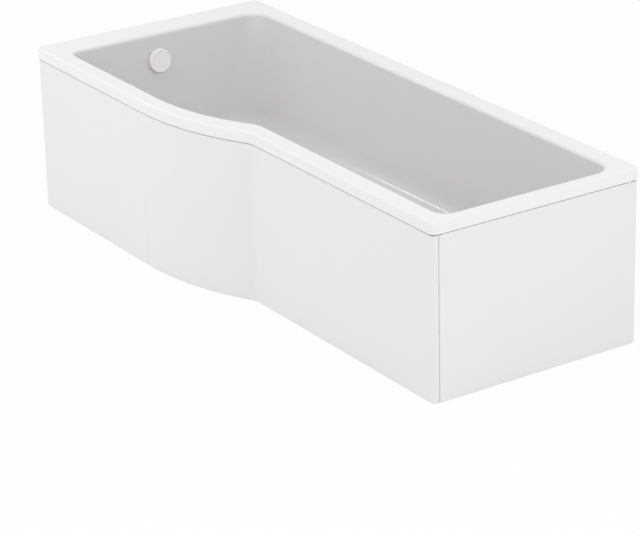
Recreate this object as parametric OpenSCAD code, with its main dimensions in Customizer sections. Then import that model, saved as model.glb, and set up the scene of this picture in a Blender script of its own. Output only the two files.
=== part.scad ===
// Shower bath: a moulded tub that is wider at the shower end, with its panels, leg set,
// turn knob overflow, rising plug and trap, all in their places.
// X runs along the bath from the shower end to the backrest end, Y from the front to the
// wall, Z up from the room's floor. The origin is the middle of the footprint.

/* [Bath] */
// Overall length of the bath
bath_len = 1800; // [1740:10:1900]
// Overall width at the shower end
wide_w = 750; // [730:5:790]
// Step of the front edge between the wide and the narrow part
step_w = 104; // [80:2:120]
// Height of the rim's top above the room's floor
rim_h = 484; // [470:2:540]
// Height of the outer lip that hangs from the rim
lip_drop = 34; // [28:1:44]
// Thickness of the moulded acrylic sheet
sheet_t = 5; // [4:0.5:6]
// Radius of the rim's outer corners, seen from above
corner_r = 16; // [11:0.5:18]
// Radius that rounds the rim's outer edge
rim_edge_r = 8; // [5:0.5:9]
// Radius of the roll from the rim down into the tub
roll_r = 10; // [6:0.5:12]

/* [Rim widths] */
// Width of the rim at the shower end, which carries the taps
rim_shower_w = 107; // [100:1:130]
// Width of the rim along the front
rim_front_w = 53; // [50:1:60]
// Width of the rim along the wall
rim_wall_w = 62; // [58:1:75]
// Width of the rim at the backrest end
rim_rest_w = 33; // [32:0.5:45]

/* [Curved front] */
// Distance from the shower end to the start of the curve
curve_start = 595; // [560:5:620]
// Radius of the outward curve, at the rim's outer edge
bulge_r = 775; // [740:5:850]
// Radius of the inward curve that ends it, at the rim's outer edge
blend_r = 65; // [55:1:90]
// Radius of the outward curve, at the rim's inner edge
inner_bulge_r = 646; // [620:2:700]
// Radius of the inward curve, at the rim's inner edge
inner_blend_r = 71; // [60:1:90]

/* [Tub] */
// Height of the tub's floor at the waste above the room's floor
floor_h = 146; // [140:1:160]
// Rise of the tub's floor from the waste to the backrest
floor_fall = 10; // [4:0.5:14]
// Distance from the shower end to where the floor starts to rise
level_len = 470; // [440:5:490]
// Radius between the tub's walls and its floor
floor_fillet_r = 60; // [50:1:70]
// Radius of the tub's corners at the rim, on the front
tub_front_corner_r = 34; // [30:1:70]
// Radius of the tub's corners at the rim, on the wall side
tub_wall_corner_r = 58; // [50:1:70]
// Radius of the tub's corners low down on its walls
tub_low_corner_r = 120; // [100:2:130]
// Draft of the front and back walls in degrees
side_draft = 5; // [3:0.5:6]
// Draft of the shower end wall in degrees
shower_draft = 4; // [3:0.5:6]
// Slope of the backrest in degrees
rest_slope = 24; // [20:1:27]

/* [Underside] */
// Thickness of the glass fibre backing
backing_t = 3; // [2:0.5:4]
// Thickness of the bond between the sheet, the backing and the board
bond_t = 0.2; // [0.1:0.05:0.3]
// Thickness of the base board
board_t = 15; // [12:1:16]
// Distance from the board's edge to the edge of the tub's flat floor
board_margin = 17; // [12:1:25]
// Height of the battens under the rim
batten_h = 24; // [20:1:26]
// Width of the battens under the rim
batten_w = 22; // [18:1:22]
// Width of the batten at the backrest end
end_batten_w = 10; // [8:0.5:10]
// Distance from a batten's end to the end of the bath
batten_end_gap = 40; // [36:1:50]
// Gap between a wall side batten and the lip
batten_lip_gap = 2; // [1:0.5:4]

/* [Panels] */
// Thickness of the panel sheets
panel_t = 3.5; // [3:0.25:4]
// Distance that the panel's face lies inside the rim's edge
panel_reveal = 1.5; // [0.5:0.25:2]
// Gap between the panel's top edge and the rim's lip
panel_top_gap = 3; // [1:0.25:4]
// Thickness of the tongue that stands behind the lip
tongue_t = 2.5; // [2:0.25:3]
// Gap between the tongue and the lip
tongue_gap = 0.5; // [0.3:0.1:1]
// Height that the tongue stands above the panel's face
tongue_rise = 18; // [12:1:20]
// Height of the step that joins the tongue to the panel
tongue_step_h = 8; // [6:1:12]
// Distance from the panel's top edge down to the step's top
tongue_step_drop = 2; // [1:0.5:4]
// Depth of the flange along the panel's foot, from its face
foot_flange_w = 12; // [8:0.5:12]
// Length of the return along the wall at a panel's end
wall_return = 14; // [10:1:20]
// Depth of the return at the joint of the two panels
joint_return = 11; // [9:0.5:14]
// Radius of the panels' edges at the joint
joint_edge_r = 4.5; // [4.25:0.25:6]
// Gap at the joint of the two panels
joint_gap = 0.8; // [0.5:0.1:3]

/* [Panel clips] */
// Space between a panel's tongue and the batten behind it
clip_gap = 6; // [5:0.25:6.5]
// Height of a clip
clip_h = 20; // [16:1:22]
// Length of a clip along the panel
clip_len = 30; // [24:1:40]
// Thickness of the clip's steel
clip_t = 1; // [0.8:0.1:1.2]
// Clearance between a clip's spring leg and the tongue
clip_clear = 0.3; // [0.2:0.05:0.4]
// Radius of a clip screw's shank
clip_screw_r = 1.7; // [1.5:0.1:2]
// Length of a clip screw's shank
clip_screw_len = 9; // [7:0.5:9.5]
// Radius of a clip screw's head
clip_head_r = 3.2; // [2.8:0.1:3.6]
// Height of a clip screw's head
clip_head_h = 1.4; // [1:0.1:1.6]

/* [Leg set] */
// Difference between the bath's width and the length of a crossbar
channel_short = 150; // [138:1:154]
// Width of a crossbar
channel_w = 50; // [44:1:56]
// Depth of a crossbar's flanges
channel_h = 22; // [20:1:26]
// Thickness of the crossbar's steel
channel_t = 2; // [1.5:0.25:2.5]
// Radius of a crossbar's folded edges
channel_fold_r = 3; // [2.5:0.25:4]
// Distance of the wide end's crossbar from the shower end
wide_channel_from = 470; // [465:1:490]
// Distance of the narrow end's crossbar from the backrest end
narrow_channel_from = 470; // [440:5:500]
// Distance from a crossbar's end to its rod
rod_inset = 18; // [16:0.5:22]
// Radius of the threaded rods
rod_r = 5; // [4:0.5:6]
// Length of rod above its upper nut
rod_reach = 10; // [6:1:12]
// Extra radius of the rod's holes in the crossbars
rod_hole_clear = 0.5; // [0.3:0.1:1]
// Height of a rod's nut
nut_h = 8; // [7:0.5:9]
// Radius across the corners of a rod's nut
nut_r = 9.8; // [9:0.1:10.5]
// Width of a foot's square plate
foot_w = 46; // [40:1:48]
// Thickness of a foot's plate
foot_t = 3; // [2.5:0.25:4]
// Radius of a foot plate's corners
foot_corner_r = 4; // [2:0.5:6]
// Height of the boss that holds the rod in the foot
foot_boss_h = 9; // [7:0.5:12]
// Radius of the boss at its top
foot_boss_r = 8; // [7.5:0.25:9]
// Radius of the boss where it meets the plate
foot_boss_base_r = 12; // [10:0.5:15]
// Radius of a crossbar screw's shank
bar_screw_r = 2; // [1.8:0.1:2.5]
// Length of a crossbar screw's shank
bar_screw_len = 14; // [11:0.5:14]
// Radius of a crossbar screw's head
bar_head_r = 4.5; // [4:0.25:5.5]
// Height of a crossbar screw's head
bar_head_h = 2.4; // [2:0.1:3]
// Distance between the crossbar's first and middle screws
bar_screw_step = 62; // [50:1:70]
// Distance between the crossbar's middle and last screws
bar_screw_pair = 16; // [14:1:30]
// Distance that the last screw stands aside of the other two
bar_screw_aside = 12; // [8:0.5:14]

/* [Overflow] */
// Depth of the overflow's centre below the rim
overflow_drop = 79; // [76:1:90]
// Distance of the overflow and the waste from the bath's middle line, towards the front
waste_off = 36; // [20:1:45]
// Radius of the hole in the wall
overflow_hole_r = 26; // [25.5:0.25:27]
// Radius of the turn knob
knob_r = 35; // [34.5:0.5:38]
// Depth of the turn knob
knob_depth = 10; // [9:0.5:14]
// Radius of the knob's rounded edge
knob_edge_r = 3.5; // [3:0.25:4]
// Depth that the knob's face lies behind its rounded edge
knob_dish = 1.2; // [0.4:0.1:1.6]
// Wall thickness of the knob
knob_wall = 3; // [2.5:0.25:3.5]
// Gap behind the knob where the water enters
knob_gap = 3; // [2:0.5:5]
// Radius of the face ring behind the knob
face_r = 34; // [32:0.5:34]
// Thickness of the face ring
face_t = 3; // [2:0.25:4]
// Radius of the face ring's neck
neck_r = 24.8; // [24:0.1:25]
// Wall thickness of the necks of the overflow and the waste
neck_wall = 3; // [2.5:0.25:3.5]
// Clearance between a neck and its housing
neck_clear = 0.2; // [0.1:0.05:0.3]
// Thickness of the rubber gasket behind the wall
gasket_t = 4; // [3:0.25:5]
// Radius of the housing's flange
housing_flange_r = 38; // [37:0.5:42]
// Thickness of the housing's flange
housing_flange_t = 4; // [3:0.25:5]
// Radius of the housing
housing_r = 29; // [28.5:0.25:31]
// Depth of the housing behind its flange
housing_len = 48; // [46:1:52]
// Wall thickness of the housing
housing_wall = 3; // [2.5:0.25:3.25]
// Radius of the spindle
spindle_r = 4; // [3.5:0.25:4.5]
// Running clearance of the spindle and of the other turning pieces
run_clear = 0.05; // [0.03:0.01:0.08]
// Radius of the hub that the spindle turns in
hub_r = 8; // [7.5:0.25:9]
// Length of that hub
hub_len = 8; // [6:0.5:10]
// Width of the spokes that carry the hub
spoke_w = 3; // [2.5:0.25:4]
// Radius of the crank disc on the spindle's end
crank_r = 12; // [11:0.5:13]
// Thickness of the crank disc
crank_t = 5; // [4:0.5:6]
// Distance of the crank's pin from the spindle's centre
crank_throw = 9; // [8:0.5:9.5]
// Radius of the crank's pin
crank_pin_r = 2; // [1.5:0.25:2.5]
// Radius of the knob's grub screw
grub_r = 2; // [1.5:0.25:2]

/* [Hose] */
// Radius of the hose over its ribs
hose_r = 14; // [13.5:0.25:14.5]
// Radius of the hose between its ribs
hose_valley_r = 12.2; // [11.8:0.1:12.6]
// Radius of the hose's bore
hose_bore_r = 10; // [9:0.25:10.5]
// Length of the plain cuff at each end of the hose
cuff_len = 28; // [28:0.5:30]
// How far the hose bows towards the front
hose_sway = 45; // [35:1:55]
// Clearance between the hose and its nuts
hose_clear = 0.2; // [0.1:0.05:0.3]
// Outer radius of the hose nuts
hose_nut_r = 19.5; // [18.5:0.25:21]
// Length of the hose nuts
hose_nut_len = 30; // [26:1:32]
// Length of hose that the hose nut covers
hose_nut_grip = 16; // [12:0.5:18]
// Radius of the pull cable
cable_r = 2.5; // [2:0.25:2.75]
// Clearance between the pull cable and the rocker
cable_clear = 0.3; // [0.2:0.05:0.5]

/* [Waste] */
// Distance of the waste from the shower end
waste_from = 340; // [336:1:346]
// Radius of the hole in the floor
waste_hole_r = 26; // [25.5:0.25:27]
// Radius of the waste's flange
flange_r = 35; // [34:0.5:37]
// Thickness of the waste's flange
flange_t = 2.5; // [2:0.25:3]
// Thickness of the flange's gasket
flange_gasket_t = 1; // [0.6:0.1:1.5]
// Length of the flange's neck below the tub's underside
flange_neck_len = 24; // [22:0.5:26]
// Thickness of the conical seal under the tub
seal_t = 6; // [5:0.25:7]
// Radius of the conical seal at its top
seal_r = 39; // [37:0.5:41]
// Radius of the conical seal at its foot
seal_low_r = 34; // [32:0.5:35]
// Radius of the plug
plug_r = 32; // [30:0.5:33]
// Height of the plug's edge
plug_edge_h = 2; // [1.5:0.25:3]
// Height of the plug's dome above its edge
plug_dome_h = 4; // [3:0.25:5]
// Thickness of the plug's rubber seal
plug_seal_t = 1.6; // [1.2:0.1:2]
// Width of the plug's rubber seal
plug_seal_w = 5; // [4:0.25:6]
// Clearance between the plug's seal and the flange
plug_clear = 0.3; // [0.2:0.05:0.4]
// Radius of the plug's stem
stem_r = 3; // [2.5:0.25:3.5]
// Height of the waste body, from its flange to its spigot's end
body_h = 65; // [63:0.5:67]
// Radius of the waste body
body_r = 29; // [28.5:0.25:30]
// Radius of the waste body's flange
body_flange_r = 38; // [36:0.5:39]
// Thickness of the waste body's flange
body_flange_t = 4; // [3:0.25:5]
// Height of the cone below that flange
body_cone_h = 8; // [6:0.5:10]
// Height of the waste body's ribs
body_rib_h = 2; // [1.5:0.25:2.5]
// Distance between the waste body's ribs
body_rib_step = 5; // [4:0.25:5.5]
// Distance from the waste body's flange down to the hose union's centre
union_drop = 28; // [27:0.5:29]
// Distance from the waste's centre to the hose union's end
union_reach = 54; // [52:0.5:58]
// Radius of the waste body's threaded spigot
spigot_r = 23; // [22:0.25:24]
// Length of the waste body's threaded spigot
spigot_len = 11; // [10:0.5:14]
// Radius of the waste body's outlet
outlet_bore_r = 17; // [15:0.25:18]

/* [Plug lift] */
// Radius of the rocker's pin
rocker_pin_r = 1.5; // [1.25:0.25:2]
// Distance of the rocker's pin from the plug's stem
rocker_arm = 18; // [17:0.5:19]
// Depth of the rocker's pin below the hose union's centre
rocker_drop = 8; // [7:0.5:9]
// Radius of the rocker's hub
rocker_hub_r = 4; // [3.5:0.25:4.5]
// Width of the rocker's hub
rocker_w = 8; // [6:0.5:10]
// Radius of the rocker's nose under the stem
rocker_nose_r = 3; // [2.5:0.25:3.5]
// Thickness of the rocker's arms
rocker_t = 3; // [2.5:0.25:3.5]
// Length of the rocker's upright arm
rocker_tail = 12; // [10:0.5:13]
// Clearance between the rocker's nose and the stem
nose_clear = 0.3; // [0.2:0.05:0.4]

/* [Trap] */
// Radius of the trap's tube
tube_r = 20; // [19.5:0.25:21]
// Wall thickness of the trap's tubes
tube_wall = 3; // [2.5:0.25:3.5]
// Radius of the trap's inlet pipe
inlet_r = 19; // [18.5:0.25:19.5]
// Depth from the inlet's shoulder to the tube's centre
inlet_drop = 25; // [24.5:0.5:27]
// Thickness of the inlet's shoulder
shoulder_t = 2.3; // [2:0.1:3]
// Thickness of the rubber washer on that shoulder
washer_t = 2.5; // [2:0.1:3]
// Outer radius of the knurled union nut
union_nut_r = 30; // [28:0.5:31]
// Length of the union nut on the spigot's thread
union_nut_grip = 9.5; // [8:0.25:10]
// Thickness of the union nut's lip
nut_lip_t = 4; // [3:0.25:5]
// Distance from the waste's centre to the trap's riser
riser_off = 64; // [62:0.5:68]
// Distance from the waste's centre to the tube's capped end
cap_off = 52; // [50:0.5:56]
// Radius of the thread under the cleaning cap
cap_thread_r = 22; // [21.5:0.25:23]
// Length of the thread under the cleaning cap
cap_thread_len = 16; // [14:0.5:17]
// Radius of the cleaning cap
cap_r = 26; // [25.5:0.25:28]
// Thickness of the cleaning cap's end
cap_t = 4; // [3:0.25:5]
// Thickness of the cleaning cap's seal
cap_seal_t = 1.5; // [1:0.1:2]
// Radius of the riser's socket
socket_r = 23; // [22.5:0.25:23.5]
// Height of the riser's socket
socket_h = 18; // [16:0.5:20]
// Gap between the riser's nut and the bend above it
elbow_clear = 0.5; // [0.4:0.1:2]
// Length of the elbow's spigot inside the socket
elbow_plug_len = 16; // [14:0.5:16]
// Outer radius of the riser's collar nut
collar_r = 27; // [26.5:0.25:29]
// Length of the collar nut on the socket
collar_grip = 14; // [12:0.5:15]
// Thickness of the riser's rubber seal
riser_seal_t = 2.5; // [2:0.1:3]
// Radius of the waste pipe that plugs into the outlet
pipe_r = 20; // [19.5:0.25:20.5]
// Clearance round that pipe
pipe_clear = 0.2; // [0.1:0.05:0.3]
// Depth of the outlet's socket for that pipe
pipe_socket_len = 26; // [24:0.5:28]
// Distance from the riser to the foot of the outlet's socket
elbow_reach = 36; // [34:0.5:40]
// Outer radius of the outlet's nut
outlet_nut_r = 27; // [26.5:0.25:28]
// Length of the outlet's nut on the socket
outlet_nut_grip = 16; // [14:0.5:18]
// Number of grips round each nut and cap
grip_count = 24; // [16:1:32]
// Depth of the grips
grip_depth = 1; // [0.6:0.1:1.2]

/* [Hidden] */

// Places of the bath's outline
left_x = -bath_len / 2;
right_x = bath_len / 2;
wide_y = -wide_w / 2;
wall_y = wide_w / 2;
narrow_w = wide_w - step_w;
narrow_y = wide_y + step_w;
curve_x = left_x + curve_start;
level_x = left_x + level_len;

// Heights
roll_z = rim_h - roll_r;
under_rim_z = rim_h - sheet_t;
lip_z = rim_h - lip_drop;
wall_depth = roll_z - floor_h - floor_fillet_r;
under_sheet_z = floor_h - sheet_t;
under_backing_z = under_sheet_z - bond_t - backing_t;
board_z = under_backing_z - board_t;

// Insets of the tub's walls where they meet the fillet
side_in = wall_depth * tan(side_draft);
shower_in = wall_depth * tan(shower_draft);
rest_in = wall_depth * tan(rest_slope);

// Edges of the tub's flat floor
flat_right_x = right_x - rim_rest_w - rest_in - floor_fillet_r;
flat_wall_y = wall_y - rim_wall_w - side_in - floor_fillet_r;
flat_wide_y = wide_y + rim_front_w + side_in + floor_fillet_r;
flat_narrow_y = flat_wide_y + step_w;

// Smallest corner radius of an inset outline
least_corner_r = corner_r / 20;
// Overrun of the cuts
over = bond_t;
// Parts of a curve that each kind of arc is divided into
corner_steps = 8;
bulge_steps = 20;
blend_steps = 8;
fillet_steps = 6;
$fn = 64;

// Points of an arc about (cx, cy) from angle a0 to a1, without its first `skip` points
function arc(cx, cy, r, a0, a1, steps, skip = 0) =
  [for (i = [skip:steps]) let (a = a0 + (a1 - a0) * i / steps) [cx + r * cos(a), cy + r * sin(a)]];

// Angle that the outward and the inward curve turn through, from their radii together
function bend(radii) = acos(1 - step_w / radii);

// The front's outline from the corner at xl to the corner at xr: the straight wide part, the
// outward curve, the inward curve and the straight narrow part
function front_line(xl, xr, yw, rc, rv, rb) =
  let (a = bend(rv + rb), end_x = curve_x + (rv + rb) * sin(a), yn = yw + step_w)
  concat(
    arc(xl + rc, yw + rc, rc, 180, 270, corner_steps),
    [[level_x, yw]],
    arc(curve_x, yw + rv, rv, 270, 270 + a, bulge_steps),
    arc(end_x, yn - rb, rb, 90 + a, 90, blend_steps, 1),
    arc(xr - rc, yn + rc, rc, 270, 360, corner_steps));

// The wall side's outline, back from the corner at xr to the corner at xl
function wall_line(xl, xr, yb, rc) =
  concat(
    arc(xr - rc, yb - rc, rc, 0, 90, corner_steps),
    [[level_x, yb]],
    arc(xl + rc, yb - rc, rc, 90, 180, corner_steps));

// Counts along an outline: its points, and the two that stand where the floor starts to rise
front_count = 2 * (corner_steps + 1) + 1 + bulge_steps + 1 + blend_steps;
wall_count = 2 * (corner_steps + 1) + 1;
ring_count = front_count + wall_count;
front_level_i = corner_steps + 1;
wall_level_i = front_count + corner_steps + 1;

// The rim's outline, drawn in by `inset`
function rim_outline(inset) =
  let (rc = max(corner_r - inset, least_corner_r))
  concat(
    front_line(left_x + inset, right_x - inset, wide_y + inset, rc, bulge_r - inset, blend_r + inset),
    wall_line(left_x + inset, right_x - inset, wall_y - inset, rc));

// The tub's outline at a share of its walls' depth, drawn in by `inset`
function tub_outline(share, inset) =
  let (ds = share * side_in + inset,
       dl = share * shower_in + inset,
       dr = share * rest_in + inset,
       rf = tub_front_corner_r + share * (tub_low_corner_r - tub_front_corner_r) - inset,
       rw = tub_wall_corner_r + share * (tub_low_corner_r - tub_wall_corner_r) - inset,
       xl = left_x + rim_shower_w + dl,
       xr = right_x - rim_rest_w - dr)
  concat(
    front_line(xl, xr, wide_y + rim_front_w + ds, rf, inner_bulge_r - ds, inner_blend_r + ds),
    wall_line(xl, xr, wall_y - rim_wall_w - ds, rw));

// Height of the tub's floor at x, or of its level underside
function floor_at(x, level) =
  floor_h + (level ? 0 : floor_fall * max(0, x - level_x) / (flat_right_x - level_x));

// A ring of points at one height
function flat_ring(outline, z) = [for (p = outline) [p.x, p.y, z]];

// A ring on the tub's walls at a share of their depth, `off` outside the inner face
function wall_ring(share, off, level) =
  [for (p = tub_outline(share, -off))
    [p.x, p.y, roll_z + share * (floor_at(p.x, level) + floor_fillet_r - roll_z)]];

// A ring on the fillet between walls and floor at angle a, `off` outside the inner face
function fillet_ring(a, off, level) =
  let (inset = floor_fillet_r - (floor_fillet_r + off) * cos(a))
  [for (p = tub_outline(1, inset))
    [p.x, p.y, floor_at(p.x, level) + floor_fillet_r - (floor_fillet_r + off) * sin(a)]];

// Share of the walls' depth at which their middle ring lies
mid_share = 0.5;

// The tub's face from its floor up to the rings of its walls, `off` outside the inner face
function tub_rings(off, level) = concat(
  [for (i = [fillet_steps:-1:1]) fillet_ring(90 * i / fillet_steps, off, level)],
  [wall_ring(1, off, level), wall_ring(mid_share, off, level), wall_ring(0, off, level)]);

function reversed(list) = [for (i = [len(list) - 1:-1:0]) list[i]];

// A closed solid through rings of equal count, from the floor's top ring over the rim to the
// floor's underside ring
module skin(rings) {
  n = ring_count;
  last = len(rings) - 1;
  sides = [for (k = [0:last - 1], i = [0:n - 1])
    let (j = (i + 1) % n, a = k * n, b = (k + 1) * n)
    each [[a + j, b + j, b + i], [a + j, b + i, a + i]]];
  shower_part = concat([for (i = [wall_level_i:n - 1]) i], [for (i = [0:front_level_i]) i]);
  rest_part = [for (i = [front_level_i:wall_level_i]) i];
  tops = [reversed(shower_part), reversed(rest_part)];
  unders = [[for (i = shower_part) last * n + i], [for (i = rest_part) last * n + i]];
  polyhedron(points = [for (ring = rings) each ring], faces = concat(sides, tops, unders));
}

// Round solids along an axis between two places on it
module rod_x(x0, x1, r) translate([x0, 0, 0]) rotate([0, 90, 0]) cylinder(h = x1 - x0, r = r);
module rod_y(y0, y1, r) translate([0, y1, 0]) rotate([90, 0, 0]) cylinder(h = y1 - y0, r = r);
module rod_z(z0, z1, r) translate([0, 0, z0]) cylinder(h = z1 - z0, r = r);

module ring_x(x0, x1, r, bore) {
  difference() {
    rod_x(x0, x1, r);
    rod_x(x0 - over, x1 + over, bore);
  }
}

module ring_z(z0, z1, r, bore) {
  difference() {
    rod_z(z0, z1, r);
    rod_z(z0 - over, z1 + over, bore);
  }
}

// A round with flat topped grips, as on a nut that is turned by hand
module gripped(r, h) {
  turn = 360 / grip_count;
  outline = [for (i = [0:grip_count - 1], k = [0:3])
    let (a = (i + k / 4) * turn, rr = k < 2 ? r : r - grip_depth) [rr * cos(a), rr * sin(a)]];
  linear_extrude(height = h) polygon(outline);
}

// Overflow and waste places. The overflow stands square to the sloping wall.
overflow_z = rim_h - overflow_drop;
overflow_x = left_x + rim_shower_w + (roll_z - overflow_z) * tan(shower_draft);
waste_x = left_x + waste_from;
waste_y = -waste_off;

module at_overflow() translate([overflow_x, waste_y, overflow_z]) rotate([0, -shower_draft, 0]) children();
module at_waste() translate([waste_x, waste_y, 0]) children();

module bath_shell() color("#f4f3f6") {
  rings = concat(
    tub_rings(0, false),
    [flat_ring(tub_outline(0, -roll_r * (1 - cos(45))), rim_h - roll_r * (1 - sin(45))),
     flat_ring(tub_outline(0, -roll_r), rim_h),
     flat_ring(rim_outline(rim_edge_r), rim_h),
     flat_ring(rim_outline(rim_edge_r * (1 - cos(45))), rim_h - rim_edge_r * (1 - sin(45))),
     flat_ring(rim_outline(0), rim_h - rim_edge_r),
     flat_ring(rim_outline(0), lip_z),
     flat_ring(rim_outline(sheet_t), lip_z),
     flat_ring(rim_outline(sheet_t), under_rim_z),
     flat_ring(tub_outline(0, -sheet_t), under_rim_z)],
    reversed(tub_rings(sheet_t, false)));
  difference() {
    skin(rings);
    at_overflow() rod_x(-overflow_hole_r, overflow_hole_r, overflow_hole_r);
    at_waste() rod_z(board_z, floor_h + over, waste_hole_r);
  }
}

module glass_fibre_backing() color("#d9cfae") {
  inner = sheet_t + bond_t;
  outer = inner + backing_t;
  rings = concat(tub_rings(inner, false), reversed(tub_rings(outer, true)));
  difference() {
    skin(rings);
    at_overflow() rod_x(-overflow_hole_r * 2, overflow_hole_r, overflow_hole_r);
    at_waste() rod_z(board_z, floor_h, waste_hole_r);
  }
}

// Crossbars: the wide one stands across the wide end, the other across the narrow part
channel_wide_x = left_x + wide_channel_from;
channel_narrow_x = right_x - narrow_channel_from;
narrow_mid_y = (narrow_y + wall_y) / 2;
channel_places = [[channel_wide_x, 0], [channel_narrow_x, narrow_mid_y]];
channel_len = wide_w - channel_short;
rod_step = channel_len / 2 - rod_inset;
rod_places = [for (c = channel_places, side = [-1, 1]) [c.x, c.y + side * rod_step]];
bar_screws = [[0, -bar_screw_step], [0, 0], [bar_screw_aside, bar_screw_pair]];

// Extra radius of every screw's hole
screw_clear = rod_hole_clear / 10;

// Share of the straight wide front's length over which the board narrows along the curve
board_step_share = 0.6;

module base_board() color("#b48a58") {
  x0 = channel_wide_x - channel_w / 2 - board_margin / 2;
  x1 = flat_right_x - board_margin;
  y1 = flat_wall_y - board_margin;
  y_wide = flat_wide_y + board_margin;
  y_narrow = flat_narrow_y + board_margin;
  x_step = curve_x + board_step_share * curve_start;
  outline = [[x0, y_wide], [curve_x - board_margin, y_wide], [x_step, y_narrow],
             [x1, y_narrow], [x1, y1], [x0, y1]];
  difference() {
    translate([0, 0, board_z]) linear_extrude(height = board_t) polygon(outline);
    for (c = channel_places, s = bar_screws)
      translate([c.x + s.x, c.y + s.y, 0])
        rod_z(board_z - over, board_z + bar_screw_len, bar_screw_r + screw_clear);
  }
}

// Battens under the rim. The panels' tongues stand a clip's space in front of them.
tongue_in = sheet_t + tongue_gap + tongue_t;
batten_in = tongue_in + clip_gap;
batten_z = under_rim_z - batten_h;

module batten(x0, x1, y0, y1) color("#cda66f")
  translate([x0, y0, batten_z]) cube([x1 - x0, y1 - y0, batten_h]);

// Screws of the clips stand above the middle of the battens
clip_z = under_rim_z - batten_h / 2;
clip_screw_up_share = 0.25;
clip_screw_z = clip_h * clip_screw_up_share;
narrow_batten_x = curve_x + (bulge_r + blend_r) * sin(bend(bulge_r + blend_r));
narrow_clip_shares = [0.12, 0.5, 0.88];
wide_clip_shares = [0.2, 0.8];
end_clip_shares = [0.15, 0.85];
wide_clip_xs = [for (s = wide_clip_shares) left_x + batten_end_gap + s * (curve_start - 2 * batten_end_gap)];
narrow_clip_xs = [for (s = narrow_clip_shares)
  narrow_batten_x + s * (right_x - batten_end_gap - narrow_batten_x)];
end_clip_ys = [for (s = end_clip_shares) narrow_y + s * narrow_w];

// Places of the clips, each with its turn about Z and its origin on the batten's face
module at_clips() {
  for (x = wide_clip_xs) translate([x, wide_y + batten_in, clip_z]) rotate([0, 0, -90]) children();
  for (x = narrow_clip_xs) translate([x, narrow_y + batten_in, clip_z]) rotate([0, 0, -90]) children();
  for (y = end_clip_ys) translate([right_x - batten_in, y, clip_z]) children();
}

module clip_screw_holes() {
  at_clips() translate([0, 0, clip_screw_z])
    rod_x(-clip_screw_len, clip_t + over, clip_screw_r + screw_clear);
}

module rim_batten_wall() batten(left_x + batten_end_gap, right_x - batten_end_gap,
  wall_y - sheet_t - batten_lip_gap - batten_w, wall_y - sheet_t - batten_lip_gap);

module rim_batten_shower_end() batten(left_x + sheet_t + batten_lip_gap,
  left_x + sheet_t + batten_lip_gap + batten_w, wide_y + batten_end_gap, wall_y - batten_end_gap);

module rim_batten_wide_front() color("#cda66f") difference() {
  batten(left_x + batten_end_gap, curve_x - batten_end_gap, wide_y + batten_in,
    wide_y + batten_in + batten_w);
  clip_screw_holes();
}

module rim_batten_narrow_front() color("#cda66f") difference() {
  batten(narrow_batten_x, right_x - batten_end_gap, narrow_y + batten_in,
    narrow_y + batten_in + batten_w);
  clip_screw_holes();
}

module rim_batten_backrest_end() color("#cda66f") difference() {
  batten(right_x - batten_in - end_batten_w, right_x - batten_in, narrow_y + batten_end_gap,
    wall_y - batten_end_gap);
  clip_screw_holes();
}

// A clip's outline beside the batten: a plate on the batten and a spring leg to the tongue,
// in shares of the clip's space and height
clip_leg_shares = [[0.5, -0.5], [1, 0.1], [0.78, 0.42]];
clip_leg_in_shares = [[0.66, 0.4], [0.83, 0.1], [0.42, -0.44]];

module panel_clips() color("#b9bcc2") difference() {
  at_clips() {
    w = clip_gap - clip_clear;
    outline = concat(
      [[0, clip_h / 2], [0, -clip_h / 2]],
      [for (s = concat(clip_leg_shares, clip_leg_in_shares)) [s.x * w, s.y * clip_h]],
      [[clip_t, clip_t - clip_h / 2], [clip_t, clip_h / 2]]);
    translate([0, clip_len / 2, 0]) rotate([90, 0, 0]) linear_extrude(height = clip_len) polygon(outline);
  }
  clip_screw_holes();
}

module panel_clip_screws() color("#a9acb3") at_clips() translate([0, 0, clip_screw_z]) {
  rod_x(-clip_screw_len, clip_t, clip_screw_r);
  rod_x(clip_t, clip_t + clip_head_h, clip_head_r);
}

// Panels
panel_top_z = lip_z - panel_top_gap;
step_top_z = panel_top_z - tongue_step_drop;

// The front panel's line in plan, drawn in by `inset`: a return along the wall side at the
// shower end, the front, the corner and a small return at the joint with the end panel
function front_panel_line(inset) =
  let (line = front_line(left_x + inset, right_x - inset, wide_y + inset,
         max(corner_r - inset, least_corner_r), bulge_r - inset, blend_r + inset),
       re = max(joint_edge_r + panel_reveal - inset, least_corner_r),
       y_end = narrow_y + corner_r + joint_edge_r)
  concat(
    [[left_x + inset, wide_y + corner_r + wall_return]],
    line,
    arc(right_x - inset - re, y_end - joint_edge_r, re, 0, 90, corner_steps),
    [[right_x - panel_reveal - joint_return, y_end - joint_edge_r + re]]);

// The end panel's line in plan: a small return at the joint, the end and a return along the wall
function end_panel_line(inset) =
  let (re = max(joint_edge_r + panel_reveal - inset, least_corner_r),
       rc = max(corner_r - inset, least_corner_r),
       y_start = narrow_y + corner_r + joint_edge_r + joint_gap)
  concat(
    [[right_x - panel_reveal - joint_return, y_start + joint_edge_r - re]],
    arc(right_x - inset - re, y_start + joint_edge_r, re, 270, 360, corner_steps),
    arc(right_x - inset - rc, wall_y - inset - rc, rc, 0, 90, corner_steps),
    [[right_x - corner_r - wall_return, wall_y - inset]]);

module strip(outer, inner, z0, z1)
  translate([0, 0, z0]) linear_extrude(height = z1 - z0) polygon(concat(outer, reversed(inner)));

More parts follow.
